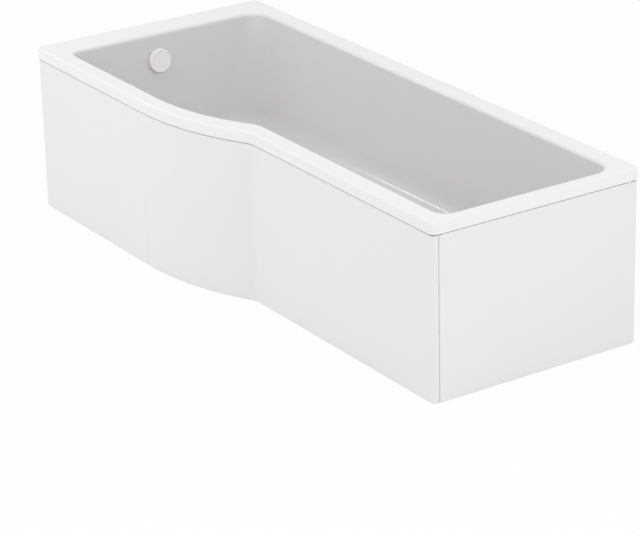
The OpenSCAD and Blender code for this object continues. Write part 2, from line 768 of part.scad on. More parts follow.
// The front, the tongue behind the lip, the step between them and the flange along the foot,
// each a strip between two insets. Only the front and its returns are full height.
module front_panel() color("#ededf1") {
  face_in = panel_reveal + panel_t;
  strip(front_panel_line(panel_reveal), front_panel_line(face_in), 0, panel_top_z);
  strip(front_run(tongue_in - tongue_t), front_run(tongue_in), step_top_z - tongue_step_h,
    panel_top_z + tongue_rise);
  strip(front_run(face_in - tongue_gap), front_run(tongue_in), step_top_z - tongue_step_h, step_top_z);
  strip(front_run(panel_reveal + tongue_gap), front_run(panel_reveal + foot_flange_w), 0, panel_t);
}

module end_panel() color("#e9e9ee") {
  face_in = panel_reveal + panel_t;
  strip(end_panel_line(panel_reveal), end_panel_line(face_in), 0, panel_top_z);
  strip(end_run(tongue_in - tongue_t), end_run(tongue_in), step_top_z - tongue_step_h,
    panel_top_z + tongue_rise);
  strip(end_run(face_in - tongue_gap), end_run(tongue_in), step_top_z - tongue_step_h, step_top_z);
  strip(end_run(panel_reveal + tongue_gap), end_run(panel_reveal + foot_flange_w), 0, panel_t);
}

// The runs of the tongue, the step and the flange, without the corners and the returns
function front_run(inset) =
  let (line = front_line(left_x + inset, right_x - inset, wide_y + inset,
         least_corner_r, bulge_r - inset, blend_r + inset))
  concat(
    [[left_x + corner_r + wall_return, wide_y + inset]],
    [for (i = [corner_steps + 1:len(line) - corner_steps - 2]) line[i]],
    [[right_x - corner_r - joint_return, narrow_y + inset]]);

function end_run(inset) =
  [[right_x - inset, narrow_y + corner_r + joint_return + joint_edge_r],
   [right_x - inset, wall_y - corner_r - wall_return]];

// Leg set
module leg_channel(place) color("#c3c2c8") {
  w = channel_w / 2;
  r = channel_fold_r;
  t = channel_t;
  z = board_z;
  outline = concat(
    [[-w, -channel_h]],
    arc(-w + r, -r, r, 180, 90, corner_steps),
    arc(w - r, -r, r, 90, 0, corner_steps),
    [[w, -channel_h], [w - t, -channel_h]],
    arc(w - r, -r, r - t, 0, 90, corner_steps),
    arc(-w + r, -r, r - t, 90, 180, corner_steps),
    [[-w + t, -channel_h]]);
  difference() {
    translate([place.x, place.y + channel_len / 2, z]) rotate([90, 0, 0])
      linear_extrude(height = channel_len) polygon(outline);
    for (side = [-1, 1])
      translate([place.x, place.y + side * rod_step, 0])
        rod_z(z - channel_h, z + over, rod_r + rod_hole_clear);
    for (s = bar_screws)
      translate([place.x + s.x, place.y + s.y, 0])
        rod_z(z - channel_h, z + over, bar_screw_r + screw_clear);
  }
}

module channel_screws() color("#a9acb3")
  for (c = channel_places, s = bar_screws) translate([c.x + s.x, c.y + s.y, 0]) {
    rod_z(board_z - channel_t, board_z - channel_t + bar_screw_len, bar_screw_r);
    rod_z(board_z - channel_t - bar_head_h, board_z - channel_t, bar_head_r);
  }

// A nut's thread runs on its rod with the named running clearance
module lock_nut(z) difference() {
  translate([0, 0, z]) cylinder(h = nut_h, r = nut_r, $fn = 6);
  rod_z(z - over, z + nut_h + over, rod_r + run_clear);
}

module upper_lock_nuts() color("#8f8f97")
  for (p = rod_places) translate([p.x, p.y, 0]) lock_nut(board_z);

module lower_lock_nuts() color("#8f8f97")
  for (p = rod_places) translate([p.x, p.y, 0]) lock_nut(board_z - channel_t - nut_h);

module leg_rod(i) color("#95949c") translate([rod_places[i].x, rod_places[i].y, 0])
  rod_z(foot_t, board_z + nut_h + rod_reach, rod_r);

module leg_foot(i) color("#a3a2aa") translate([rod_places[i].x, rod_places[i].y, 0]) difference() {
  union() {
    linear_extrude(height = foot_t) foot_plate();
    rotate_extrude() polygon([[0, foot_t / 2], [foot_boss_base_r, foot_t / 2],
      [foot_boss_base_r, foot_t], [foot_boss_r, foot_t + foot_boss_h / 2],
      [foot_boss_r, foot_t + foot_boss_h], [0, foot_t + foot_boss_h]]);
  }
  rod_z(foot_t, foot_t + foot_boss_h + over, rod_r + screw_clear);
}

module foot_plate() {
  side = foot_w - 2 * foot_corner_r;
  square([foot_w, side], center = true);
  square([side, foot_w], center = true);
  for (x = [-1, 1], y = [-1, 1]) translate([x * side / 2, y * side / 2]) circle(r = foot_corner_r);
}

// Overflow. Its pieces are placed along the axis from the tub's face, which is 0.
wall_back = -(sheet_t + bond_t + backing_t);
gasket_back = wall_back - gasket_t;
flange_back = gasket_back - housing_flange_t;
housing_back = flange_back - housing_len;
knob_back = face_t + knob_gap;
knob_front = knob_back + knob_depth;
crank_back = flange_back - housing_len / 2;
hose_x = housing_back + housing_wall + hose_r + hose_clear;
spout_len = housing_r + hose_nut_len - hose_nut_grip + hose_clear;
spout_bore_r = hose_bore_r + run_clear;
housing_ribs = 2;

// A flange from z0 to z1 with a neck below it, about Z, and a hub on three spokes in the neck
module necked_flange(neck_z, z0, z1, r, bore) {
  inner = neck_r - neck_wall;
  hub_z = neck_z + spoke_w;
  rotate_extrude()
    polygon([[inner, neck_z], [neck_r, neck_z], [neck_r, z0], [r, z0], [r, z1], [inner, z1]]);
  ring_z(hub_z, hub_z + hub_len, hub_r, bore);
  for (a = [90, 210, 330]) rotate([0, 0, a])
    translate([hub_r - spoke_w / 2, -spoke_w / 2, hub_z + spoke_w / 2])
      cube([inner + neck_wall / 2 - hub_r + spoke_w / 2, spoke_w, hub_len - spoke_w]);
}

module overflow_face() color("#eceaef") at_overflow() rotate([0, 90, 0])
  necked_flange(flange_back, 0, face_t, face_r, spindle_r + run_clear);

module overflow_gasket() color("#2c2c30") at_overflow()
  ring_x(gasket_back, wall_back, housing_flange_r, neck_r + neck_clear);

module overflow_housing() color("#3e434b") at_overflow() difference() {
  union() {
    rod_x(flange_back, gasket_back, housing_flange_r);
    rod_x(housing_back, flange_back, housing_r);
    translate([hose_x, 0, 0]) rod_z(-spout_len, 0, hose_r);
    for (k = [1:housing_ribs])
      translate([flange_back - 2 * k * body_rib_h, 0, 0]) rod_x(0, body_rib_h, housing_r + body_rib_h);
  }
  rod_x(housing_back + housing_wall, gasket_back + over, neck_r + neck_clear);
  translate([hose_x, 0, 0]) rod_z(-spout_len - over, 0, spout_bore_r);
}

// The turn knob: a cup with a rounded edge round its dished face, a hub inside it and a hole for
// its grub screw
module overflow_knob() color("#f6f5f8") at_overflow() difference() {
  rotate([0, 90, 0]) rotate_extrude() polygon(concat(
    [[spindle_r + screw_clear, knob_back], [hub_r, knob_back], [hub_r, knob_front - knob_wall],
     [knob_r - knob_wall, knob_front - knob_wall], [knob_r - knob_wall, knob_back], [knob_r, knob_back]],
    arc(knob_r - knob_edge_r, knob_front - knob_edge_r, knob_edge_r, 0, 90, corner_steps),
    [[knob_r - 2 * knob_edge_r, knob_front - knob_dish], [0, knob_front - knob_dish],
     [0, knob_front - knob_wall], [spindle_r + screw_clear, knob_front - knob_wall]]));
  translate([knob_back + knob_depth / 3, 0, 0]) rod_z(-knob_r - over, 0, grub_r + screw_clear);
}

module knob_spindle() color("#8d8f96") at_overflow() {
  rod_x(crank_back, knob_front - knob_wall - screw_clear, spindle_r);
  rod_x(crank_back - crank_t, crank_back, crank_r);
  translate([0, -crank_throw, 0]) rod_x(crank_back - 2 * crank_t, crank_back - crank_t, crank_pin_r);
}

module knob_grub_screw() color("#77777f") at_overflow() translate([knob_back + knob_depth / 3, 0, 0])
  rod_z(-hub_r - grub_r, -spindle_r - screw_clear, grub_r);

// Hose. It leaves the housing's spout square to it, hangs in a slack bow under the tub and
// enters the waste's union level. Its places between are chosen by hand, as shares of the way
// along the bath, of the sway towards the front and of the height.
hose_route_shares = [
  [-0.026, 0.09, 0.841], [-0.042, 0.36, 0.672], [-0.021, 0.67, 0.508], [0.038, 0.91, 0.347],
  [0.144, 1, 0.204], [0.298, 0.91, 0.092], [0.479, 0.67, 0.027], [0.665, 0.36, 0.005],
  [0.841, 0.11, 0.001]];

// A place in the overflow's own axes, in the bath's axes
function overflow_at(p) = [
  overflow_x + p.x * cos(shower_draft) - p.z * sin(shower_draft),
  waste_y + p.y,
  overflow_z + p.x * sin(shower_draft) + p.z * cos(shower_draft)];

union_z = under_backing_z - seal_t - body_flange_t - union_drop;
hose_top = overflow_at([hose_x, 0, -spout_len]);
hose_top_in = overflow_at([hose_x, 0, -spout_len - cuff_len]);
hose_end = [waste_x - union_reach, waste_y, union_z];
hose_end_in = hose_end - [cuff_len, 0, 0];
hose_route = [for (s = hose_route_shares) [
  hose_top_in.x + s.x * (hose_end_in.x - hose_top_in.x),
  waste_y - s.y * hose_sway,
  hose_end_in.z + s.z * (hose_top_in.z - hose_end_in.z)]];

// A smooth curve through the bends' places, with even steps between each two
hose_knots = concat([hose_top_in], hose_route, [hose_end_in]);
knot_first = hose_knots[0] + (hose_top - hose_top_in);
knot_last = hose_end;
function knot(i) = i < 0 ? knot_first : i > len(hose_knots) - 1 ? knot_last : hose_knots[i];
function between(i, t) =
  let (a = knot(i - 1), b = knot(i), c = knot(i + 1), d = knot(i + 2))
  (2 * b + (c - a) * t + (2 * a - 5 * b + 4 * c - d) * t * t + (3 * b - a - 3 * c + d) * t * t * t) / 2;
curve_steps = 8;
hose_curve = concat(
  [hose_top],
  [for (i = [0:len(hose_knots) - 2], k = [0:curve_steps - 1]) between(i, k / curve_steps)],
  [hose_end_in, hose_end]);

// Length run along a line of places, up to each of them
function run_lengths(line, i = 0, total = 0, out = []) =
  i >= len(line) ? out :
  let (here = i == 0 ? 0 : total + norm(line[i] - line[i - 1]))
  run_lengths(line, i + 1, here, concat(out, [here]));
hose_runs = run_lengths(hose_curve);
hose_len = hose_runs[len(hose_runs) - 1];
function table(axis) = [for (i = [0:len(hose_curve) - 1]) [hose_runs[i], hose_curve[i][axis]]];
hose_tables = [table(0), table(1), table(2)];
function hose_point(s) = [for (axis = [0:2]) lookup(s, hose_tables[axis])];

function unit(v) = v / norm(v);
// Share of a cuff's length on each side over which the hose's heading is taken
heading_share = 0.1;
// A ring of `sides` points round a place, square to the direction there
function tube_ring(place, dir, r, sides) =
  let (across = unit(cross([0, 1, 0], dir)), up = cross(dir, across))
  [for (i = [0:sides - 1]) let (a = 360 * i / sides) place + r * cos(a) * across + r * sin(a) * up];
function hose_ring(s, r, sides) =
  let (e = heading_share * cuff_len, s0 = max(0, s - e), s1 = min(hose_len, s + e))
  tube_ring(hose_point(s), unit(hose_point(s1) - hose_point(s0)), r, sides);

// A tube through rings of equal count, open through its middle: the outside on, the bore back
module sleeve(rings) {
  n = len(rings[0]);
  m = len(rings);
  faces = [for (k = [0:m - 1], i = [0:n - 1])
    let (j = (i + 1) % n, a = k * n, b = ((k + 1) % m) * n)
    each [[a + i, b + i, b + j], [a + i, b + j, a + j]]];
  polyhedron(points = [for (ring = rings) each ring], faces = faces);
}

// A closed cord through rings of equal count
module cord(rings) {
  n = len(rings[0]);
  m = len(rings);
  faces = [for (k = [0:m - 2], i = [0:n - 1])
    let (j = (i + 1) % n, a = k * n, b = (k + 1) * n)
    each [[a + i, b + i, b + j], [a + i, b + j, a + j]]];
  ends = [[for (i = [0:n - 1]) i], [for (i = [n - 1:-1:0]) (m - 1) * n + i]];
  polyhedron(points = [for (ring = rings) each ring], faces = concat(faces, ends));
}

hose_sides = 8;
rib_count = 96;
bore_rings = 44;
// Places of a rib's groove and crest along its step
rib_shares = [0.3, 0.8];
rib_step = (hose_len - 2 * cuff_len) / rib_count;

module overflow_hose() color("#57525a") {
  outside = concat(
    [hose_ring(0, hose_r, hose_sides), hose_ring(cuff_len, hose_r, hose_sides)],
    [for (i = [0:rib_count - 1]) each [
      hose_ring(cuff_len + (i + rib_shares[0]) * rib_step, hose_valley_r, hose_sides),
      hose_ring(cuff_len + (i + rib_shares[1]) * rib_step, hose_r, hose_sides)]],
    [hose_ring(hose_len, hose_r, hose_sides)]);
  bore = [for (i = [bore_rings:-1:0]) hose_ring(hose_len * i / bore_rings, hose_bore_r, hose_sides)];
  sleeve(concat(outside, bore));
}

// Least gap between parts of the hose that lie more than a bend apart, measured on its places
hose_self_gap = min([for (i = [0:2:len(hose_curve) - 1], j = [0:2:len(hose_curve) - 1])
  hose_runs[j] - hose_runs[i] > 8 * hose_r ? norm(hose_curve[j] - hose_curve[i]) - 2 * hose_r : hose_len]);
echo(hose_length = hose_len, hose_self_gap = hose_self_gap);

module hose_nut() difference() {
  gripped(hose_nut_r, hose_nut_len);
  rod_z(-over, hose_nut_len + over, hose_r + hose_clear);
}

module upper_hose_nut() color("#4a4e56") at_overflow()
  translate([hose_x, 0, -spout_len - hose_nut_grip]) hose_nut();

module lower_hose_nut() color("#4a4e56")
  translate([waste_x - union_reach - hose_nut_grip, waste_y, union_z]) rotate([0, 90, 0]) hose_nut();

// The pull cable runs beside the hose's middle, from the crank to the rocker's upright arm
cable_side = rocker_t / 2 + cable_clear + cable_r;
cable_shift = [0, cable_side, 0];
cable_steps = 40;
cable_top = overflow_at([hose_x, 0, -crank_r - cable_clear]);
cable_end = [waste_x - rocker_arm + rocker_t / 2, waste_y, union_z];

module pull_cable() color("#c9c9cf") {
  top = [for (p = [cable_top, hose_top]) tube_ring(p + cable_shift, unit(hose_top - cable_top),
    cable_r, hose_sides)];
  middle = [for (i = [1:cable_steps - 1])
    [for (p = hose_ring(hose_len * i / cable_steps, cable_r, hose_sides)) p + cable_shift]];
  end = [for (p = [hose_end, cable_end]) tube_ring(p + cable_shift, [1, 0, 0], cable_r, hose_sides)];
  cord(concat(top, middle, end));
}

// Waste
flange_z = floor_h + flange_gasket_t;
flange_top_z = flange_z + flange_t;
seal_z = under_backing_z - seal_t;
body_top_z = seal_z;
spigot_z = body_top_z - body_h;
neck_end_z = under_backing_z - flange_neck_len;
chamber_z = spigot_z + spigot_len + 2 * neck_wall;
pin_z = union_z - rocker_drop;
stem_z = pin_z + rocker_nose_r + nose_clear;
plug_z = flange_top_z + plug_clear + plug_seal_t;

module flange_gasket() color("#d8d8dc") at_waste()
  ring_z(floor_h, flange_z, flange_r - flange_t, neck_r + neck_clear);

module waste_flange() color("#e4e3e8") at_waste()
  necked_flange(neck_end_z, flange_z, flange_top_z, flange_r, stem_r + run_clear);

module waste_seal() color("#26262a") at_waste() difference() {
  rotate_extrude()
    polygon([[0, seal_z], [seal_low_r, seal_z], [seal_r, under_backing_z], [0, under_backing_z]]);
  rod_z(seal_z - over, under_backing_z + over, neck_r + neck_clear);
}

module waste_body() color("#353a43") at_waste() difference() {
  union() {
    rod_z(body_top_z - body_flange_t, body_top_z, body_flange_r);
    rotate_extrude() polygon([
      [0, body_top_z - body_flange_t - body_cone_h], [body_r, body_top_z - body_flange_t - body_cone_h],
      [body_flange_r - body_flange_t, body_top_z - body_flange_t], [0, body_top_z - body_flange_t]]);
    rod_z(spigot_z + spigot_len, body_top_z - body_flange_t, body_r);
    rod_z(spigot_z, spigot_z + spigot_len + over, spigot_r);
    for (k = [0:2]) {
      z = body_top_z - body_flange_t - body_cone_h - k * body_rib_step;
      rod_z(z - body_rib_h, z, body_r + body_rib_h);
    }
    translate([0, 0, union_z]) rod_x(-union_reach, 0, hose_r);
  }
  rod_z(chamber_z, body_top_z + over, neck_r + neck_clear);
  rod_z(spigot_z - over, chamber_z + over, outlet_bore_r);
  translate([0, 0, union_z]) rod_x(-union_reach - over, 0, spout_bore_r);
  translate([-rocker_arm, 0, pin_z]) rod_y(-rocker_pin_half, rocker_pin_half, rocker_pin_r + screw_clear);
}

// Half the length of the rocker's pin, which ends inside the waste body's wall
rocker_pin_half = sqrt(body_r * body_r - rocker_arm * rocker_arm) - neck_wall / 2;

module rocker_pin() color("#b5b5bb") at_waste() translate([-rocker_arm, 0, pin_z])
  rod_y(-rocker_pin_half, rocker_pin_half, rocker_pin_r);

module lift_rocker() color("#d9d9de") at_waste() translate([-rocker_arm, 0, pin_z]) difference() {
  union() {
    rod_y(-rocker_w / 2, rocker_w / 2, rocker_hub_r);
    translate([rocker_arm, 0, 0]) rod_y(-rocker_t / 2, rocker_t / 2, rocker_nose_r);
    translate([0, -rocker_t / 2, -rocker_t / 2]) cube([rocker_arm, rocker_t, rocker_t]);
    translate([-rocker_t / 2, -rocker_t / 2, 0]) cube([rocker_t, rocker_t, rocker_tail]);
  }
  rod_y(-rocker_w, rocker_w, rocker_pin_r + run_clear);
}

// The plug: a domed cap with a boss under it, a flat rubber ring and a stem
module waste_plug() color("#f6f5f8") at_waste() rotate_extrude() {
  edge = plug_edge_h;
  dome_r = (plug_r * plug_r + plug_dome_h * plug_dome_h) / (2 * plug_dome_h);
  half = asin(plug_r / dome_r);
  polygon(concat(
    [[0, plug_z], [plug_r, plug_z]],
    arc(0, plug_z + edge + plug_dome_h - dome_r, dome_r, 90 - half, 90, corner_steps)));
}

module plug_seal() color("#2a2a2e") at_waste()
  ring_z(plug_z - plug_seal_t, plug_z, plug_r - plug_seal_w / 2, plug_r - plug_seal_w / 2 - plug_seal_w);

module plug_stem() color("#cfcfd4") at_waste() {
  rod_z(stem_z, plug_z, stem_r);
  rod_z(plug_z - plug_seal_t, plug_z, hub_r);
}

// Trap
washer_z = spigot_z - washer_t;
shoulder_z = washer_z - shoulder_t;
tube_z = shoulder_z - inlet_drop;
riser_y = riser_off;
outlet_rise = riser_seal_t + nut_lip_t + elbow_clear + inlet_r;
outlet_z = tube_z + tube_r + socket_h + outlet_rise;
socket_top_z = outlet_z - outlet_rise;
socket_z = socket_top_z - socket_h;
nut_bottom_z = shoulder_z - nut_lip_t;
seat_clear = bond_t;

module trap_union_nut() color("#4f535b") at_waste() difference() {
  translate([0, 0, nut_bottom_z]) gripped(union_nut_r, spigot_z + union_nut_grip - nut_bottom_z);
  rod_z(shoulder_z, spigot_z + union_nut_grip + over, spigot_r + seat_clear);
  rod_z(nut_bottom_z - over, shoulder_z + over, inlet_r + seat_clear);
}

module trap_washer() color("#26262a") at_waste() ring_z(washer_z, spigot_z, spigot_r, outlet_bore_r);

module trap_body() color("#62656e") at_waste() difference() {
  union() {
    rod_z(shoulder_z, washer_z, spigot_r);
    rod_z(tube_z, washer_z, inlet_r);
    translate([0, 0, tube_z]) rod_y(-cap_off + cap_thread_len, riser_y, tube_r);
    translate([0, 0, tube_z]) rod_y(-cap_off, -cap_off + cap_thread_len + over, cap_thread_r);
    translate([0, riser_y, tube_z]) sphere(r = tube_r);
    translate([0, riser_y, 0]) rod_z(tube_z, socket_z + tube_wall, tube_r);
    translate([0, riser_y, 0]) rod_z(socket_z, socket_top_z, socket_r);
  }
  rod_z(tube_z, washer_z + over, inlet_r - tube_wall);
  translate([0, 0, tube_z]) rod_y(-cap_off - over, riser_y, tube_r - tube_wall);
  translate([0, riser_y, tube_z]) sphere(r = tube_r - tube_wall);
  translate([0, riser_y, 0]) rod_z(tube_z, socket_top_z, tube_r - tube_wall);
  translate([0, riser_y, 0]) rod_z(socket_top_z - elbow_plug_len - seat_clear, socket_top_z + over,
    inlet_r + run_clear);
}

module trap_cleaning_cap() color("#6d7079") at_waste() translate([0, -cap_off, tube_z])
  rotate([-90, 0, 0]) difference() {
    translate([0, 0, -cap_t - cap_seal_t]) gripped(cap_r, cap_t + cap_seal_t + cap_thread_len - seat_clear);
    rod_z(-cap_seal_t, cap_thread_len, cap_thread_r + seat_clear);
  }

module trap_cap_seal() color("#26262a") at_waste() translate([0, -cap_off, tube_z])
  rod_y(-cap_seal_t, 0, cap_thread_r);

module trap_riser_seal() color("#26262a") at_waste() translate([0, riser_y, 0])
  ring_z(socket_top_z, socket_top_z + riser_seal_t, socket_r, inlet_r + pipe_clear);

module trap_collar_nut() color("#565a63") at_waste() translate([0, riser_y, 0]) difference() {
  top = socket_top_z + riser_seal_t + nut_lip_t;
  low = socket_top_z - collar_grip;
  translate([0, 0, low]) gripped(collar_r, top - low);
  rod_z(low - over, top - nut_lip_t, socket_r + seat_clear);
  rod_z(low, top + over, inlet_r + pipe_clear);
}

// The outlet: a spigot in the riser's socket, a bend and a socket for the waste pipe
outlet_socket_r = pipe_r + pipe_clear + tube_wall;

module at_outlet() at_waste() translate([0, riser_y, outlet_z]) children();

module trap_outlet_elbow() color("#5e616a") at_outlet() difference() {
  union() {
    rod_z(-outlet_rise - elbow_plug_len, 0, inlet_r);
    sphere(r = inlet_r);
    rod_y(0, elbow_reach, inlet_r);
    rod_y(elbow_reach - tube_wall, elbow_reach + pipe_socket_len, outlet_socket_r);
  }
  rod_z(-outlet_rise - elbow_plug_len - over, 0, inlet_r - tube_wall);
  sphere(r = inlet_r - tube_wall);
  rod_y(0, elbow_reach + over, inlet_r - tube_wall);
  rod_y(elbow_reach, elbow_reach + pipe_socket_len + over, pipe_r + pipe_clear);
}

outlet_end = elbow_reach + pipe_socket_len;

module outlet_seal() color("#26262a") at_outlet() difference() {
  rod_y(outlet_end, outlet_end + riser_seal_t, outlet_socket_r);
  rod_y(outlet_end - over, outlet_end + riser_seal_t + over, pipe_r + 2 * pipe_clear);
}

module outlet_nut() color("#6d7079") at_outlet() difference() {
  top = outlet_end + riser_seal_t + nut_lip_t;
  low = outlet_end - outlet_nut_grip;
  translate([0, low, 0]) rotate([-90, 0, 0]) gripped(outlet_nut_r, top - low);
  rod_y(low - over, top - nut_lip_t, outlet_socket_r + seat_clear);
  rod_y(low, top + over, pipe_r + 2 * pipe_clear);
}

bath_shell();
glass_fibre_backing();
base_board();
rim_batten_wall();
rim_batten_narrow_front();
rim_batten_wide_front();
rim_batten_shower_end();
rim_batten_backrest_end();
front_panel();
end_panel();
panel_clips();
panel_clip_screws();
leg_channel(channel_places[0]);  // leg_channel_wide
leg_channel(channel_places[1]);  // leg_channel_narrow
channel_screws();
upper_lock_nuts();
lower_lock_nuts();
leg_rod(0);  // leg_rod_1
leg_rod(1);  // leg_rod_2
leg_rod(2);  // leg_rod_3
leg_rod(3);  // leg_rod_4
leg_foot(0);  // leg_foot_1
leg_foot(1);  // leg_foot_2
leg_foot(2);  // leg_foot_3
leg_foot(3);  // leg_foot_4
overflow_face();
overflow_gasket();
overflow_housing();
overflow_knob();
knob_spindle();
knob_grub_screw();
overflow_hose();
upper_hose_nut();
lower_hose_nut();
pull_cable();
waste_flange();
flange_gasket();
waste_seal();
waste_body();
waste_plug();
plug_seal();
plug_stem();
lift_rocker();
rocker_pin();
trap_union_nut();
trap_washer();
trap_body();
trap_cleaning_cap();
trap_cap_seal();
trap_collar_nut();
trap_riser_seal();
trap_outlet_elbow();
outlet_nut();
outlet_seal();
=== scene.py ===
import functools
import math

import bmesh
import bpy
import numpy as np
from mathutils import Euler, Matrix, Vector


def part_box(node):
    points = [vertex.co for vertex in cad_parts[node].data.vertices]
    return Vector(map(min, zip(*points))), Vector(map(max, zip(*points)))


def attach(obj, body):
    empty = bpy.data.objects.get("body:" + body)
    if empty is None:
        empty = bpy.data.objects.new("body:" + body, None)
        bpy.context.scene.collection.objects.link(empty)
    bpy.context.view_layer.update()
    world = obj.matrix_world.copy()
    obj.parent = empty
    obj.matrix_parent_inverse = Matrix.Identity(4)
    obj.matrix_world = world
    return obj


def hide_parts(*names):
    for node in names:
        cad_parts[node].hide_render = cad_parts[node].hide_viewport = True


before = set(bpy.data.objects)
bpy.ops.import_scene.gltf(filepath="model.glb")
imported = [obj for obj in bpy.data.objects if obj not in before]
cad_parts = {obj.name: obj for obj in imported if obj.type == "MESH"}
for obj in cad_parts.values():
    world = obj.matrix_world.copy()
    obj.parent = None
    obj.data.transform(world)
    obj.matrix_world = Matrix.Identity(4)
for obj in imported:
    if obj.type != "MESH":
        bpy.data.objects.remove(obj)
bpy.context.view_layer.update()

# The looks of a shower bath: its surfaces, finishes, studio and camera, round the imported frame.
# X runs along the bath from the shower end to the backrest end, Y from the front to the wall and
# Z up. Lengths are in metres, written as millimetres times MM.

bl_info = {
    "name": "Shower bath looks",
    "version": (1, 0, 0),
    "blender": (4, 5, 0),
    "location": "3D View > Sidebar > Bath",
    "description": "Surfaces, finishes and studio of a shower bath with its panels, legs and waste",
    "category": "Object",
}

MM = 0.001


# Properties

def span_of(node, axis):
    """A CAD node's extent along an axis, from its lowest to its highest corner."""
    low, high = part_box(node)
    return high[axis] - low[axis]


def prop(name, value, about, kind="Float", **more):
    """A property of a kind with its name, its default and its description."""
    return getattr(bpy.props, kind + "Property")(name=name, description=about, default=value, **more)


def length(name, value, about):
    return prop(name, value, about, unit="LENGTH", precision=4)


def degrees(name, value, about):
    return prop(name, math.radians(value), about, subtype="ANGLE")


def power(name, value, about):
    return prop(name, value, about, unit="POWER", min=0)


def share(name, value, about):
    return prop(name, value, about, subtype="FACTOR", min=0, max=4)


def amount(name, value, about):
    return prop(name, value, about, "Int", min=8)


def colour(name, value, about):
    return prop(name, value, about, "FloatVector", subtype="COLOR", min=0, max=1)


class BATH_PG_tub(bpy.types.PropertyGroup):
    long: length("Length", span_of("bath_shell", 0), "Overall length of the bath")
    wide: length("Wide end", span_of("bath_shell", 1), "Overall width at the shower end")
    narrow: length("Narrow end", 646 * MM, "Overall width at the backrest end")
    rim: length("Rim height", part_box("bath_shell")[1].z, "Height of the rim above the room's floor")
    lip: length("Lip", 34 * MM, "Height of the outer lip that hangs from the rim")
    sheet: length("Sheet", 5 * MM, "Thickness of the acrylic")
    corner: length("Corners", 16 * MM, "Radius of the rim's outer corners, seen from above")
    edge: length("Rim edge", 8 * MM, "Radius that rounds the rim's outer edge")
    roll: length("Roll", 10 * MM, "Radius of the roll from the rim down into the tub")
    shower_rim: length("Tap rim", 107 * MM, "Width of the rim at the shower end")
    front_rim: length("Front rim", 53 * MM, "Width of the rim along the front")
    wall_rim: length("Wall rim", 62 * MM, "Width of the rim along the wall")
    rest_rim: length("Backrest rim", 33 * MM, "Width of the rim at the backrest end")
    curve_start: length("Curve start", 595 * MM, "Distance from the shower end to the curve")
    bulge: length("Outward curve", 775 * MM, "Radius of the outward curve at the rim's edge")
    blend: length("Inward curve", 65 * MM, "Radius of the inward curve at the rim's edge")
    inner_bulge: length("Inner outward curve", 646 * MM, "Radius of the outward curve inside")
    inner_blend: length("Inner inward curve", 71 * MM, "Radius of the inward curve inside")
    floor: length("Floor height", 146 * MM, "Height of the tub's floor at the waste")
    fall: length("Fall", 10 * MM, "Rise of the tub's floor from the waste to the backrest")
    level: length("Level floor", 470 * MM, "Distance from the shower end to where the floor rises")
    fillet: length("Floor radius", 60 * MM, "Radius between the tub's walls and its floor")
    front_corner: length("Upper front corners", 34 * MM, "Radius of the tub's front corners at the rim")
    wall_corner: length("Upper wall corners", 58 * MM, "Radius of the tub's corners at the rim, by the wall")
    low_corner: length("Lower corners", 120 * MM, "Radius of the tub's corners low down")
    side_draft: degrees("Side draft", 5, "Slope of the front and back walls")
    shower_draft: degrees("Shower end draft", 4, "Slope of the shower end wall")
    rest_slope: degrees("Backrest", 24, "Slope of the backrest")
    backing: length("Glass fibre", 3 * MM, "Thickness of the glass fibre backing")
    bond: length("Bond", 0.2 * MM, "Thickness of the bond below the sheet")


class BATH_PG_panels(bpy.types.PropertyGroup):
    sheet: length("Sheet", 3.5 * MM, "Thickness of the panel sheets")
    reveal: length("Reveal", 1.5 * MM, "Distance that the face lies inside the rim's edge")
    top_gap: length("Top gap", 3 * MM, "Gap between the panel and the rim's lip")
    tongue: length("Tongue", 2.5 * MM, "Thickness of the tongue behind the lip")
    tongue_gap: length("Tongue gap", 0.5 * MM, "Gap between the tongue and the lip")
    tongue_rise: length("Tongue rise", 18 * MM, "Height of the tongue above the face")
    step: length("Step", 8 * MM, "Height of the step that joins the tongue to the panel")
    step_drop: length("Step drop", 2 * MM, "Distance from the panel's top edge to the step's top")
    foot: length("Foot flange", 12 * MM, "Depth of the flange along the panel's foot")
    wall_return: length("Wall return", 14 * MM, "Length of the return along the wall")
    joint_return: length("Joint return", 11 * MM, "Depth of the return at the joint")
    joint_edge: length("Joint edge", 4.5 * MM, "Radius of the panels' edges at the joint")
    joint_gap: length("Joint gap", 0.8 * MM, "Gap at the joint of the two panels")
    crease: length("Crease", 0.9 * MM, "Depth and width of the line where the front panel's curve starts")


class BATH_PG_fittings(bpy.types.PropertyGroup):
    waste_from: length("Waste", 340 * MM, "Distance of the waste from the shower end")
    waste_off: length("Waste offset", 36 * MM, "Distance of the waste from the bath's middle line")
    overflow_drop: length("Overflow", 79 * MM, "Depth of the overflow's centre below the rim")
    hole: length("Holes", 26 * MM, "Radius of the holes in the tub")
    hose: length("Hose", 14 * MM, "Radius of the hose over its ribs")
    hose_valley: length("Hose grooves", 12.2 * MM, "Radius of the hose between its ribs")
    ribs: amount("Ribs", 96, "Number of ribs along the hose")
    rod: length("Rods", 5 * MM, "Radius of the threaded rods")
    pitch: length("Pitch", 1.5 * MM, "Distance between the turns of the rods' thread")
    thread: length("Thread", 0.55 * MM, "Depth of the rods' thread")
    lock_nut: length("Lock nuts", 9.8 * MM, "Radius of the lock nuts across their corners")
    grips: amount("Grips", 24, "Number of grips round each hand nut")
    grip_depth: length("Grip depth", 1 * MM, "Depth of the hand nuts' grips")


